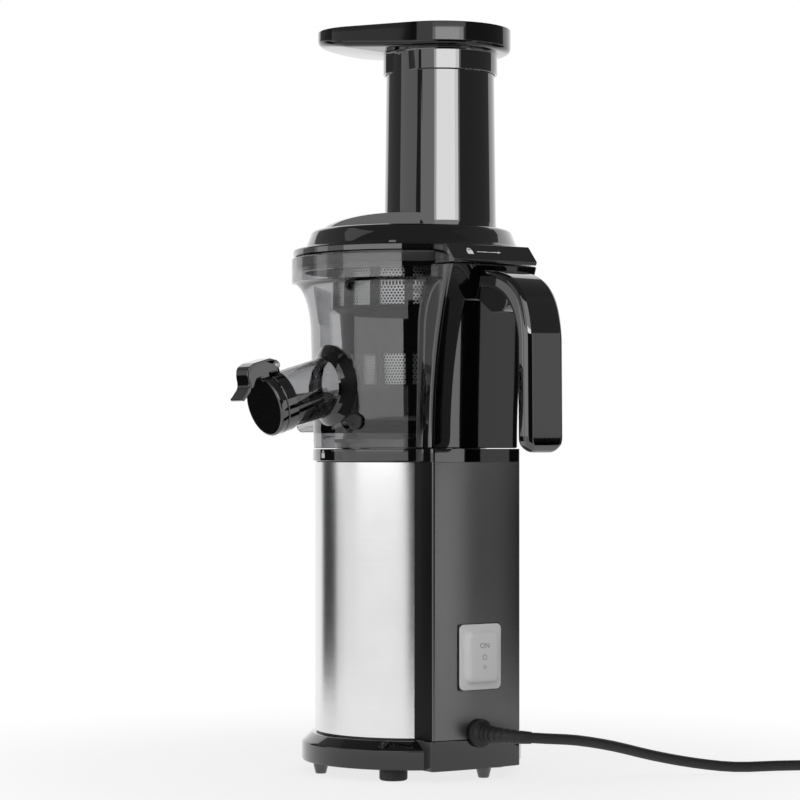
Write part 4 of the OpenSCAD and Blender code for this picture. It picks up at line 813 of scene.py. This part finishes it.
# Plug: body with a waisted grip, and two pins
plug_place = at(*plug_at) @ Matrix.Rotation(route_turn, 4, "Z")
plug_rings = []
for along, wide, tall in ((-1, 8.2, 8.2), (0, 9.6, 9.4), (6, 10.6, 10.0), (7, 13.4, 11.2),
                          (12, 19, 12.4), (18, 26.5, 13.2), (24, 33.5, 13.6), (27, 35, 13.6),
                          (33.2, 35, 13.6), (34, 33.8, 12.6)):
    outline = rounded(rect(-wide / 2, -tall / 2, wide / 2, tall / 2), min(wide, tall) / 2 - 0.4, 6)
    plug_rings.append([(along, u, v) for u, v in outline])
plug = placed(loft("plug", plug_rings, smooth=40), plug_place)
fit(plug, satin_black, "base", "plug_body", slot="satin_black")
pin_list = []
for side in (-9.3, 9.3):
    pin = turned("pin", [(0, 33.5), (2, 33.5), (2, 52.2), (1.6, 52.8), (0, 53)], 28)
    pin_list.append(placed(pin, plug_place @ at(0, side, 0) @ spun(90, "Y")))
pins = joined("pins", pin_list)
fit(pins, brass, "base", "plug_pins", slot="brass")

# Gland with its tapered, grooved relief
gland = turned("gland", [
    (3.05, -5), (6.2, -5), (6.2, 0.05), (7.7, 0.05), (8, 0.35), (8, 2.2), (7.6, 2.9), (6.6, 3.2),
    (5.9, 4.6), (5.2, 6), (3.05, 6)], 64)
lying(gland, 66, 0, CORD_Z)
relief_line = smooth_path(ROUTE[:4], 12)[:30]
relief_radii = []
for i in range(len(relief_line)):
    u = i / (len(relief_line) - 1)
    relief_radii.append((5.3 - 1.9 * u) * (0.9 if i % 4 == 3 and 2 < i < 26 else 1.0))
relief = tube_along("relief", relief_line, relief_radii, 28, 50)
gland = joined("gland", [gland, relief])
fit(gland, rubber_black, "base", "cord_gland", slot="rubber")


def cord_notch():
    return lying(bar("notch", 6.3, 0, 30, 48), 50, 0, CORD_Z)


# Base: turned shell, rear block, vent slots, gland notch
base = turned("base_shell", [
    (0, 6.7), (62.5, 6.7), (63.6, 7.1), (64, 8.2), (64, 17.4), (63.6, 18.1), (62.8, 18.8), (58.8, 22.5),
    (57.8, 23), (55.2, 23), (55.2, 21.5), (61.5, 17.5), (61.5, 9.2), (0, 9.2)], 160)
add(base, slab("block", spine_outline(30), 6.7, 23.7, 0.5))
slots = []
for k in range(1, 12):
    blade = slab("blade", rounded(rect(20, -1.5, 34, 1.5), 1.4, 4), 5, 11)
    slots.append(placed(blade, spun(30 * k, "Z")))
cut(base, joined("blades", slots))
cut(base, cord_notch())
fit(base, base_black, "base", "base_cover", slot="gloss_black")

foot = turned("foot", [
    (0, 0.3), (4.4, 0.3), (4.8, 0), (7.0, 0), (7.7, 0.4), (8, 1.3), (8, 5.8), (7.6, 6.5), (7, 6.7),
    (0, 6.7)], 48, (50, 0))
feet = ring_copies("feet", foot, 3, -47, rubber_black)
fit(feet, rubber_black, "base", "rubber_feet", slot="rubber")
peg = turned("peg", [(0, 0), (2.9, 0), (3.2, 0.4), (4.9, 6.9), (0, 6.9)], 32, (55, 0))
pegs = ring_copies("pegs", peg, 3, 13, gloss_black)
fit(pegs, gloss_black, "base", slot="gloss_black")

# Brushed sleeve, open at the back
SLEEVE_TOP, SLEEVE_FROM, SLEEVE_TO = 179.5, 30.6, 329.4
sleeve_wall = [
    (55.2, 24), (55.8, 24), (56, 24.2), (56, SLEEVE_TOP - 0.2), (55.8, SLEEVE_TOP), (55.2, SLEEVE_TOP)]
sleeve_turns = [math.radians(SLEEVE_FROM + (SLEEVE_TO - SLEEVE_FROM) * k / 180) for k in range(181)]
sleeve = loft("sleeve", [[(r * math.cos(a), r * math.sin(a), z) for r, z in sleeve_wall]
                         for a in sleeve_turns])
fit(sleeve, sleeve_steel, "base", "steel_sleeve", slot="brushed_sleeve")

# Spine cover with its switch pocket
SWITCH_Z = 70
outer = spine_outline(46.7)
inner = spine_outline(46.7, 2.5, 1.2)
spine = slab("spine", outer + list(reversed(inner)), 24, SLEEVE_TOP, 0.15)
pocket = rounded(rect(-14.8, -18.9, 14.8, 18.9), 2.2, 4)
cut(spine, slab("pocket", pocket, 0, 8, to=facing_x(64.6, SWITCH_Z)))
cut(spine, slab("hole", rect(-12.7, -16.8, 12.7, 16.8), -12, 4, to=facing_x(64.6, SWITCH_Z)))
cut(spine, cord_notch())
fit(spine, spine_black, "base", "rear_cover", slot="dark_grey")
# Painted shade: the spine's side faces take the darker copy of its black
repaint(spine, painted_shade_black, lambda face: abs(face.normal.y) > 0.8 and abs(face.center.y) > 30 * MM)

# Top deck with the bayonet ring; its block starts just above the sleeve and spine
DECK_R, DECK_TOP = 57.5, 187
deck = turned("deck", [
    (57.2, 180), (DECK_R, 180.3), (DECK_R, 186.6), (57.1, DECK_TOP), (44, DECK_TOP), (44, 192.6),
    (43.6, 193), (41.4, 193), (41, 192.6), (41, DECK_TOP), (16, DECK_TOP), (16, 193), (15.6, 193.4),
    (10.05, 193.4), (10.05, 188.4), (7, 188.4), (7, 165.2), (16, 165.2), (16, 183), (49.8, 183),
    (49.8, 176), (52.7, 176), (52.7, 180)], 160)
add(deck, slab("block", spine_outline(48), SLEEVE_TOP + 0.02, DECK_TOP, 0.1))
lug = slab("lug", arc(47, -14, 14, 8) + arc(43.5, 14, -14, 8), 190.8, 193, 0.3)
lugs = ring_copies("lugs", lug, 3, 30, gloss_black)
add(deck, lugs)
screw_hole = bar("hole", 3.3, 184.7, 188, 32, (47.25, 0))
cut(deck, ring_copies("holes", screw_hole, 3, 90, gloss_black))
fit(deck, gloss_black, "base", "top_deck", slot="gloss_black")

# Switch: soft cover over the rocker, with its printed marks
plate = rounded(rect(-14.3, -18.4, 14.3, 18.4), 3.0, 6)
pad = rounded(rect(-11.1, -14.5, 11.1, 14.5), 3.6, 6)


def switch_ring(outline, inset, depth):
    return [(depth, u, SWITCH_Z + v) for u, v in shrunk(outline, inset)]


cover_levels = [
    (plate, 0, 66.45), (plate, 0, 67.3), (plate, 0.4, 67.6), (pad, -0.6, 67.65), (pad, 0, 68.2),
    (pad, 0.25, 69.8), (pad, 0.8, 70.7), (pad, 1.8, 71.2), (pad, 3.2, 71.38)]
for share in (0.8, 0.5, 0.2):
    cover_levels.append(([(u * share, v * share) for u, v in shrunk(pad, 3.2)], 0,
                         71.44 - 0.04 * share))
cover = loft("switch_cover", [switch_ring(*level) for level in cover_levels])
hollow_levels = ((0.8, 66), (0.9, 69.6), (1.8, 70.3), (3.2, 70.6))
hollow = loft("hollow", [switch_ring(pad, *level) for level in hollow_levels])
cut(cover, hollow)
fit(cover, switch_grey, "base", "switch_cover", slot="light_grey")


def flat_text(name, body, size, matrix):
    curve = bpy.data.curves.new(name, "FONT")
    curve.body = body
    curve.size = size * MM
    curve.align_x = "CENTER"
    curve.align_y = "CENTER"
    curve.extrude = 0.04 * MM
    label = linked(name, curve)
    mesh = evaluated(label)
    bpy.data.objects.remove(label)
    return placed(linked(name, mesh), matrix)


# A face turned to +X: text runs along +Y and stands along +Z
FACE_BACK = Matrix(((0, 0, 1, 0), (1, 0, 0, 0), (0, 1, 0, 0), (0, 0, 0, 1)))


def flat_ring(name, radius, width, to, steps=40):
    levels = ((radius, -0.02), (radius, 0.05), (radius - width, 0.05), (radius - width, -0.02))
    rings = [[to(u, v, w) for u, v in arc(r, 0, 360, steps)[:-1]] for r, w in levels]
    return loft(name, rings, closed_path=True)


marks = [flat_text("on_mark", "ON", 4.2, at(71.47, 0, 76.5) @ FACE_BACK),
         flat_ring("o_mark", 1.5, 0.35, facing_x(71.48, SWITCH_Z)),
         flat_ring("box_mark", 1.3, 0.35, facing_x(71.48, 64.5), 4)]
marks = joined("switch_marks", marks)
fit(marks, print_grey, "base", slot="white_plastic")


# Bowl: one clear shell with spout, pulp outlet, floor and chimney
def flare(u):
    return 1 - math.sqrt(max(0.0, 1 - u * u))


# The bowl's wall leans out from its foot, flares like a quarter circle, and ends upright
BOWL_FOOT, FLARE_LOW, FLARE_RISE = 187.4, 252.8, 30.4
FOOT_R, FLARE_R, BOWL_R = 57, 58.6, 69.7


def bowl_radius(z, off=0.0):
    if z < FLARE_LOW:
        return FOOT_R + (FLARE_R - FOOT_R) * (z - BOWL_FOOT) / (FLARE_LOW - BOWL_FOOT) + off
    if z < FLARE_LOW + FLARE_RISE:
        return FLARE_R + (BOWL_R - FLARE_R) * flare((z - FLARE_LOW) / FLARE_RISE) + off
    return BOWL_R + off


SPOUT_ROOT, SPOUT_SLOPE = 223.6, 16.0
at_spout = at(0, -57, SPOUT_ROOT) @ spun(90 + SPOUT_SLOPE, "X")
flare_levels = [FLARE_LOW + FLARE_RISE * u
                for u in (0.15, 0.3, 0.45, 0.58, 0.7, 0.8, 0.88, 0.94, 0.98, 1.0)]
bowl = turned("bowl", [
    (0, 195.9), (54.4, 195.9), (54.4, 187.8), (54.8, BOWL_FOOT), (56.7, BOWL_FOOT), (FOOT_R, 187.7),
    (FLARE_R, FLARE_LOW)] + [(bowl_radius(z), z) for z in flare_levels] + [(BOWL_R, 296.8),
    (69.1, 297.4), (0, 297.4)], 160)
add(bowl, placed(turned("tube", rect(0, -8, 16.5, 41), 72), at_spout))


def pulp_outline(inset):
    half = 12 - inset
    return rounded(rect(-half, -half, half, half), 4.0 - min(inset, 2))


def to_pulp(u, v, w):
    return (-w, u, 208.9 + v)


add(bowl, slab("outlet", pulp_outline(0), 44, 105, 0.4, to=to_pulp))
saddle_rows = []
for spread, lift in ((22.5, -1.0), (22.5, 0.2), (22.3, 0.5), (20.4, 2.0), (18.6, 3.6), (17.2, 5.2),
                     (16.6, 6.2), (15.0, 6.2), (15.0, -1.0)):
    row = []
    for k in range(72):
        a = 2 * math.pi * k / 72
        x, z = spread * math.sin(a), SPOUT_ROOT - 0.4 + 1.03 * spread * math.cos(a)
        row.append((x, -math.sqrt((bowl_radius(z) + lift) ** 2 - x * x), z - 0.28 * lift))
    saddle_rows.append(row)
add(bowl, loft("saddle", saddle_rows, closed_path=True))
cut(bowl, turned("inside", [(0, 208.4), (13.5, 208.4), (13.5, 200.2), (14.2, 198.9), (15.4, 198.4),
                            (49, 198.4), (52.4, 199.6), (54.2, 202.6), (54.7, 206), (56.2, FLARE_LOW)]
                 + [(bowl_radius(z, -2.4), z) for z in flare_levels] + [(67.3, 299), (0, 299)], 160))
cut(bowl, placed(turned("bore", rect(0, -9, 14.3, 44), 72), at_spout))
cut(bowl, slab("bore", pulp_outline(2.2), 44, 108, to=to_pulp))
cut(bowl, turned("bore", [(0, 190), (12.5, 190), (12.5, 197.9), (11.2, 197.9), (11.2, 210),
                          (0, 210)], 72))
fit(bowl, smoke, "bowl", "juicing_bowl", slot="smoke_clear")


def on_saddle(face):
    """Small faces on the right side of the ring round the spout's root."""
    x, y, z = (v / MM for v in face.center)
    heights = [bowl.data.vertices[i].co.z / MM for i in face.vertices]
    reach = math.hypot(x, SADDLE_PRESS * (z - SADDLE_Z))
    return (x > 13 and -60 < y < -50 and SADDLE_IN < reach < SADDLE_OUT + 0.1
            and max(heights) - min(heights) < 15)


# Painted shade: the right side of the ring round the spout's root takes the opaque dark copy of the
# black plastic
repaint(bowl, painted_shade_black, on_saddle)

# Small drain plug low on the bowl's front
drain_place = spun(-68, "Z") @ at(0, 0, 202.4)
button = turned("drain", [
    (0, 53.2), (3, 53.2), (3, 57.6), (4.1, 57.7), (4.6, 58.2), (4.6, 59.4), (4.1, 60), (2.2, 60),
    (1.8, 59.5), (0, 59.5)], 40)
placed(button, drain_place @ spun(90, "Y"))
fit(button, satin_black, "bowl", "drain_plug", slot="satin_black")

# Spout ring, hinge pin, cap with its lever
ring = turned("spout_ring", [
    (16.56, 34), (17.1, 34), (17.5, 34.4), (17.5, 40.5), (17.1, 40.95), (16.56, 40.95)], 72)
ear_line = rounded([(15.6, 32), (21, 32), (24, 35), (21, 38.2), (15.6, 38.2)], [0, 1.5, 3, 1.5, 0])
ear = slab("ear", ear_line, -2.5, 2.5, 0.3, to=facing_x())
ring = joined("spout_ring", [ring, ear])
placed(ring, at_spout)
fit(ring, gloss_black, "bowl", "spout_ring", slot="gloss_black")
pin = turned("hinge_pin", [(0, -6.9), (1.2, -6.9), (1.5, -6.6), (1.5, 6.6), (1.2, 6.9), (0, 6.9)], 28)
placed(pin, at_spout @ at(0, 21, 35) @ spun(90, "Y"))
fit(pin, steel, "bowl", "cap_hinge_pin", slot="steel")

cap = turned("cap", [
    (0, 42.7), (16, 42.7), (16, 41.4), (17.2, 41.4), (17.5, 41.7), (17.5, 45.2), (17.3, 45.8),
    (16.8, 46.2), (16.2, 46.3), (0, 46.3)], 96)
lever_line = rounded([
    (23.6, 34.6), (25.8, 38.5), (25.9, 49.5), (24.4, 54.2), (20, 55.6), (13.6, 56.2), (9.6, 61.4),
    (8.4, 63.2), (6.9, 61.9), (11.4, 55.2), (19.4, 54.0), (22.8, 52.4), (24.0, 48.8), (24.0, 42),
    (21.8, 38.2)], [1, 2, 5, 4, 6, 5, 1, 0.8, 0.8, 5, 6, 4, 5, 1, 1])
rib_line = rounded([
    (24, 34.8), (25, 39), (25, 49.4), (23.4, 53.4), (19.6, 54.8), (13, 55.4), (12.6, 53.6),
    (17.4, 50.4), (17.2, 46), (13.5, 46), (13.5, 42), (18.1, 41.6), (18.1, 37), (20, 32.2)], [1.5, 2, 4,
    3, 3, 0.6, 1, 3, 1, 0, 0, 0, 1, 2])
lever = slab("lever", lever_line, -6.5, 6.5, 0.5, to=facing_x())
ribs = [slab("rib", rib_line, low, low + 3.2, 0.4, to=facing_x()) for low in (-6.5, 3.3)]
cap = joined("cap", [cap, lever] + ribs)
placed(cap, at_spout)
fit(cap, gloss_black, "cap", "spout_cap", slot="gloss_black")


# Rear column: hugs the bowl in front, flares back towards its top
COLUMN_RISE, COLUMN_STEPS = 102.5, 44


def column_x(z):
    return 64 + 18 * max(0.0, (z - BOWL_FOOT) / COLUMN_RISE) ** 2.2


def column_ring(z, inset=0.0):
    radius = bowl_radius(min(z, 297)) + 0.3
    half = 31 - inset
    a = math.degrees(math.asin(half / radius))
    front = arc(radius, a, -a, 14)
    back = [(column_x(z) - inset - 1.6 * (y / half) ** 2, y)
            for y in (half * (2 * k / 12 - 1) for k in range(13))]
    points = front + back
    radii = [0] * len(front) + [3.2] + [0] * (len(back) - 2) + [3.2]
    return [(x, y, z) for x, y in rounded(points, radii, 6)]


column_levels = [(BOWL_FOOT, 0.5)]
for k in range(COLUMN_STEPS + 1):
    column_levels.append((187.9 + (289.2 - 187.9) * k / COLUMN_STEPS, 0.0))
column_levels += [(289.7, 0.3), (289.9, 0.8)]
column = loft("column", [column_ring(z, inset) for z, inset in column_levels], smooth=28)
fit(column, gloss_black, "bowl", "rear_column", slot="gloss_black")


# Handle: a broad strap that leaves the column's top and hangs to a rounded end
def strap(t):
    over = bezier((76, 0, 286.9), (112, 0, 286.9), (125, 0, 277.4), (127.5, 0, 246.9), t)
    under = bezier((76, 0, 276.4), (104, 0, 276.4), (114, 0, 266), (116.3, 0, 246.9), t)
    return over, under


def strap_section(over, under, half, crown=0.8):
    """A rounded section of the strap between two points, its outer side crowned."""
    middle, reach = (over + under) / 2, (over - under) / 2
    thick = max(reach.length, 0.05)
    outward = reach.normalized()
    points = rounded(rect(-half, -thick, half, thick), min(3.6, thick * 0.8, half * 0.8), 6)
    ring = []
    for u, v in points:
        swell = crown * (1 - (u / half) ** 2) if v > 0 else 0
        ring.append(tuple(middle + outward * (v - (crown if v > 0 else 0) + swell) + Vector((0, u, 0))))
    return ring


HANDLE_HALF, STRAP_FALL, STRAP_THICK, STRAP_CORNER = 13.0, 247, 5.5, 8.1
strap_rings = []
for k in range(30):
    over, under = strap(0.09 + 0.91 * k / 29)
    strap_rings.append(strap_section(over, under, HANDLE_HALF))
for z in (240, 231, 222, 213, 206, 200, 194):
    lean = 0.5 * (z - 194) / (STRAP_FALL - 194)
    over, under = Vector((128 - lean, 0, z)), Vector((117 - 1.4 * lean, 0, z))
    strap_rings.append(strap_section(over, under, HANDLE_HALF))
for k in range(1, 13):
    a = math.radians(90 * k / 12)
    z = 193 - STRAP_CORNER * math.sin(a)
    drop = max(0.0, 190.4 - z) / STRAP_THICK
    thick = STRAP_THICK * math.sqrt(max(0.004, 1 - drop ** 2))
    half = HANDLE_HALF - STRAP_CORNER * (1 - math.cos(a))
    strap_rings.append(strap_section(Vector((122.5 + thick, 0, z)), Vector((122.5 - thick, 0, z)), half,
                                     0.8 * math.cos(a)))
strap_piece = loft("handle", strap_rings, smooth=40)
web_line = rounded([
    (78, 279), (104, 279), (104, 270), (100.5, 262.6), (88, 262.6), (76, 270)], [0, 0, 3, 7, 9, 0], 8)
web = slab("web", web_line, -8, 8, 0.8, to=facing_y)
handle = joined("handle", [strap_piece, web], 40)
fit(handle, gloss_black, "bowl", "handle", slot="gloss_black")

# Strainer: cone foot, two bands, ribs between the windows, and the perforated sheet
foot_line = [
    (13.8, 198.6), (36.2, 198.6), (36.5, 199), (36.5, 200.8), (38.44, 223.6), (36.24, 223.6),
    (34.4, 200.8), (13.8, 200.8)]
waist_line = [
    (39.93, 241.1), (42, 265.4), (46, 267.9), (46, 269), (43.8, 269), (43.8, 268.4), (39.9, 266),
    (37.73, 241.1)]
crown_line = [(43.8, 289.9), (46, 289.9), (46, 293), (45.6, 293.4), (44.2, 293.4), (43.8, 293)]
frame_parts = [turned(name, line, 112) for name, line in
               (("foot", foot_line), ("waist", waist_line), ("crown", crown_line))]
for low, high, r_low, r_high in ((223.4, 241.3, 38.42, 39.95), (268.8, 290.1, 46, 46)):
    rib = loft("rib", [[(x, y, z) for x, y in arc(r, -2.9, 2.9, 4) + arc(r - 2.2, 2.9, -2.9, 4)]
                       for z, r in ((low, r_low), (high, r_high))])
    frame_parts.append(ring_copies("ribs", rib, 14, -50 + 360 / 28, satin_black))
strainer = joined("strainer", frame_parts)
# The frame takes its black with painted shade
fit(strainer, strainer_shade_black, "bowl", "strainer_frame", slot="satin_black")
sheet_parts = [turned("low", [(35.67, 221.6), (36.07, 221.6), (37.9, 243.1), (37.5, 243.1)], 160),
               turned("high", rect(43.35, 268.7, 43.75, 291.9), 160)]
sheet = joined("strainer_sheet", sheet_parts)
fit(sheet, mesh_steel, "bowl", "strainer_mesh", slot="steel")

# Auger: tapering core, rounded flight, round socket in its foot
FLIGHT_LOW, FLIGHT_RISE, FLIGHT_TURNS, FLIGHT_STEPS = 203.8, 76.6, 2.2, 264
core = turned("core", [
    (6.5, 195.4), (10.85, 195.4), (10.85, 209.6), (13.85, 209.6), (13.85, 202.8), (23.6, 202.8),
    (24, 203.2), (17.3, 284), (16.6, 286.6), (15, 287.4), (5, 287.6), (4, 288.6), (4, 303.2),
    (3.2, 304.1), (0, 304.1), (0, 215.9), (6.5, 215.9)], 96)


def strainer_inside(z):
    """The strainer's inner radius at a height, which the flight follows."""
    return 39.8 if z > 265.4 else 34.3 + 5.5 * (z - 200.8) / 64.6


flight_rings = []
for i in range(FLIGHT_STEPS + 1):
    u = i / FLIGHT_STEPS
    z = FLIGHT_LOW + u * FLIGHT_RISE
    a = -2 * math.pi * FLIGHT_TURNS * u
    root = 24 - 7 * (z - 202.8) / 84.6 - 1.5
    edge = min(strainer_inside(z), strainer_inside(z + 5)) - 1.25
    ends = min(1.0, 14 * u + 0.12, 14 * (1 - u) + 0.12)
    edge = root + 1 + (edge - root - 1) * ends
    section = [
        (root, 0), (root + 1.5, 0.4), (edge - 1.2, 0.5), (edge - 0.3, 0.9), (edge, 1.9), (edge, 3.1),
        (edge - 0.3, 4.1), (edge - 1.2, 4.5), (root + 1.5, 4.6), (root, 5)]
    flight_rings.append([(r * math.cos(a), r * math.sin(a), z + h) for r, h in section])
auger = joined("auger", [core, loft("flight", flight_rings, smooth=50)])
fit(auger, satin_black, "auger", "auger", slot="satin_black")

# Lid: rim, dome, feed trough, chute, cross bar and the rear lug
CHUTE = (12.02, 12.02)
dome_line = [
    (68.4, 298.1), (69, 298.7), (69, 301.5), (68.5, 302.2), (67.6, 302.5), (63.4, 302.7), (62.5, 303.1),
    (61.6, 304.4), (59.4, 309.4), (58.6, 311.8), (57.6, 313.0), (56, 313.7), (54, 313.9)]
lid = turned("lid", [(0, 298.1)] + dome_line + [(0, 313.8)], 176)
to_trough = at(*CHUTE, 0) @ spun(225, "Z")


def trough(radius, foot, level, rise, half, low, steps):
    """The strip of a low dome along the feed trough; it starts level at `level` and gains `rise`."""
    dome = [
        (radius * math.cos(math.radians(a)), level + rise * math.sin(math.radians(a))) for a in range(0,
        90, 6)]
    hump = turned("hump", [(0, foot), (radius, foot)] + dome + [(0, level + rise)], steps)
    strip = placed(slab("strip", rect(0, -half, 90, half), low, 330), to_trough)
    return combine(hump, strip, "INTERSECT")


add(lid, trough(53, 308, 312, 12.8, 31.8, 306, 128))
chute = turned("chute", [
    (0, 309), (33.6, 309), (33.4, 314.2), (32.6, 316.4), (32.45, 318), (31.2, 415), (31, 415.6),
    (0, 415.6)], 128, CHUTE)
add(lid, chute)
inside = turned("inside", [
    (0, 290), (62.1, 290), (62.1, 300.3), (56, 309), (54.6, 311), (0, 311.4)], 128)
add(inside, trough(50.6, 300, 310, 12.2, 29.4, 299, 96))
cut(lid, inside)
cut(lid, bar("bore", 29, 290, 430, 112, CHUTE))
lug_line = rounded([
    (50, 290.3), (81.4, 290.3), (82, 292.4), (74.2, 301.2), (50, 301.5)], [0, 0.6, 0.8, 1.2, 0], 4)
rear_lug = slab("lug", lug_line, -29, 29, 0.6, to=facing_y)
cut(rear_lug, bar("bore", 70.1, 280, 298.2, 128))
cut(rear_lug, bar("bore", 66, 280, 320, 128))
skirt = turned("skirt", rect(62.1, 289.1, 64.5, 298.6), 128)
cross = placed(slab("cross", rect(-63, -2, 63, 2), 296.1, 304.1, 0.4), spun(135, "Z"))
hub = turned("hub", [
    (6.5, 294.1), (8.3, 294.1), (8.5, 294.4), (8.5, 306.1), (0, 306.1), (0, 304.7), (6.5, 304.7)], 48)
lid = joined("lid", [lid, rear_lug, skirt, cross, hub])
fit(lid, gloss_black, "lid", "lid", slot="gloss_black")


# Feeding tray: an egg-shaped dish whose floor rises towards its tip
def egg(inset):
    r0, r1, d = 41 - inset, 30 - inset, 42
    b = math.acos((r0 - r1) / d)
    broad = [b + (2 * math.pi - 2 * b) * k / 72 for k in range(73)]
    slim = [-b + 2 * b * k / 48 for k in range(1, 48)]
    return ([(r0 * math.cos(a), r0 * math.sin(a)) for a in broad]
            + [(d + r1 * math.cos(a), r1 * math.sin(a)) for a in slim])


def tray_rise(x):
    return max(0.0, x - 33.2) * 0.1418


egg_edge = egg(0)
turns = [math.atan2(y, x) for x, y in egg_edge]


def collar_rows(levels):
    return [[(radius * math.cos(a), radius * math.sin(a), z) for a in turns] for radius, z in levels]


def floor_rows(levels):
    return [[(x, y, tray_rise(x) + lift) for x, y in egg(inset)] for inset, lift in levels]


tray_rows = collar_rows([
    (31.7, -11.7), (32.0, -12), (32.9, -12), (33.2, -11.7), (33.2, -1.2), (33.5, -0.3), (34.3, 0)])
tray_rows += floor_rows([(4.2, 0), (2.4, 0.25), (1.1, 0.9), (0.3, 2.0), (0, 3.4)])
tray_rows += [[(x, y, z) for x, y in egg(inset)] for inset, z in
              ((0, 13.3), (0.25, 13.8), (0.8, 14), (1.5, 14), (2.0, 13.8), (2.2, 13.3))]
tray_rows += floor_rows([(2.2, 5.6), (2.6, 4.0), (3.6, 2.8), (5.2, 2.2)])
tray_rows += collar_rows([
    (34, 2.2), (30, 2.2), (29.3, 1.9), (29, 1.2), (29, 0.3), (29.2, 0), (31.5, 0), (31.7, -0.3)])
tray = loft("tray", tray_rows, closed_path=True)
placed(tray, at(*CHUTE, 415.95) @ spun(225, "Z"))
fit(tray, gloss_black, "tray", "feeding_tray", slot="gloss_black")
repaint(tray, tray_black, lambda face: math.hypot(face.center.x - CHUTE[0] * MM,
                                                  face.center.y - CHUTE[1] * MM) > 33.6 * MM)


# Printed lock marks: a padlock and an arrow on the lug, a padlock on the deck band
def lock_mark(name, size, to):
    body_line = rounded(rect(-0.5 * size, -0.5 * size, 0.5 * size, 0.22 * size), 0.1 * size, 3)
    body = slab("body", body_line, -0.02, 0.06, to=to)
    shackle_line = (arc(0.36 * size, 0, 180, 12, (0, 0.3 * size)) + [(-0.36 * size, 0.2 * size)]
                    + [(-0.2 * size, 0.2 * size)] + arc(0.2 * size, 180, 0, 12, (0, 0.3 * size))
                    + [(0.2 * size, 0.2 * size), (0.36 * size, 0.2 * size)])
    return joined(name, [body, slab("shackle", shackle_line, -0.02, 0.06, to=to)])


def lug_face(y):
    def to(u, v, w):
        return (78.1 - 0.662 * v + 0.749 * w, y + u, 296.8 + 0.749 * v + 0.662 * w)
    return to


arrow_line = [(-8, -0.22), (6.5, -0.22), (6.5, -0.75), (8.6, 0), (6.5, 0.75), (6.5, 0.22), (-8, 0.22)]
lug_marks = joined("lug_marks", [lock_mark("lock", 4.0, lug_face(-15.5)),
                                 slab("arrow", arrow_line, -0.02, 0.06, to=lug_face(-2.5))])
fit(lug_marks, print_white, "lid", slot="white_plastic")


def band_face(azimuth, z0):
    def to(u, v, w):
        a = math.radians(azimuth) + u / DECK_R
        return ((DECK_R + w) * math.cos(a), (DECK_R + w) * math.sin(a), z0 + v)
    return to


band_mark = lock_mark("band_mark", 3.8, band_face(-97, 183.6))
fit(band_mark, print_white, "base", slot="white_plastic")
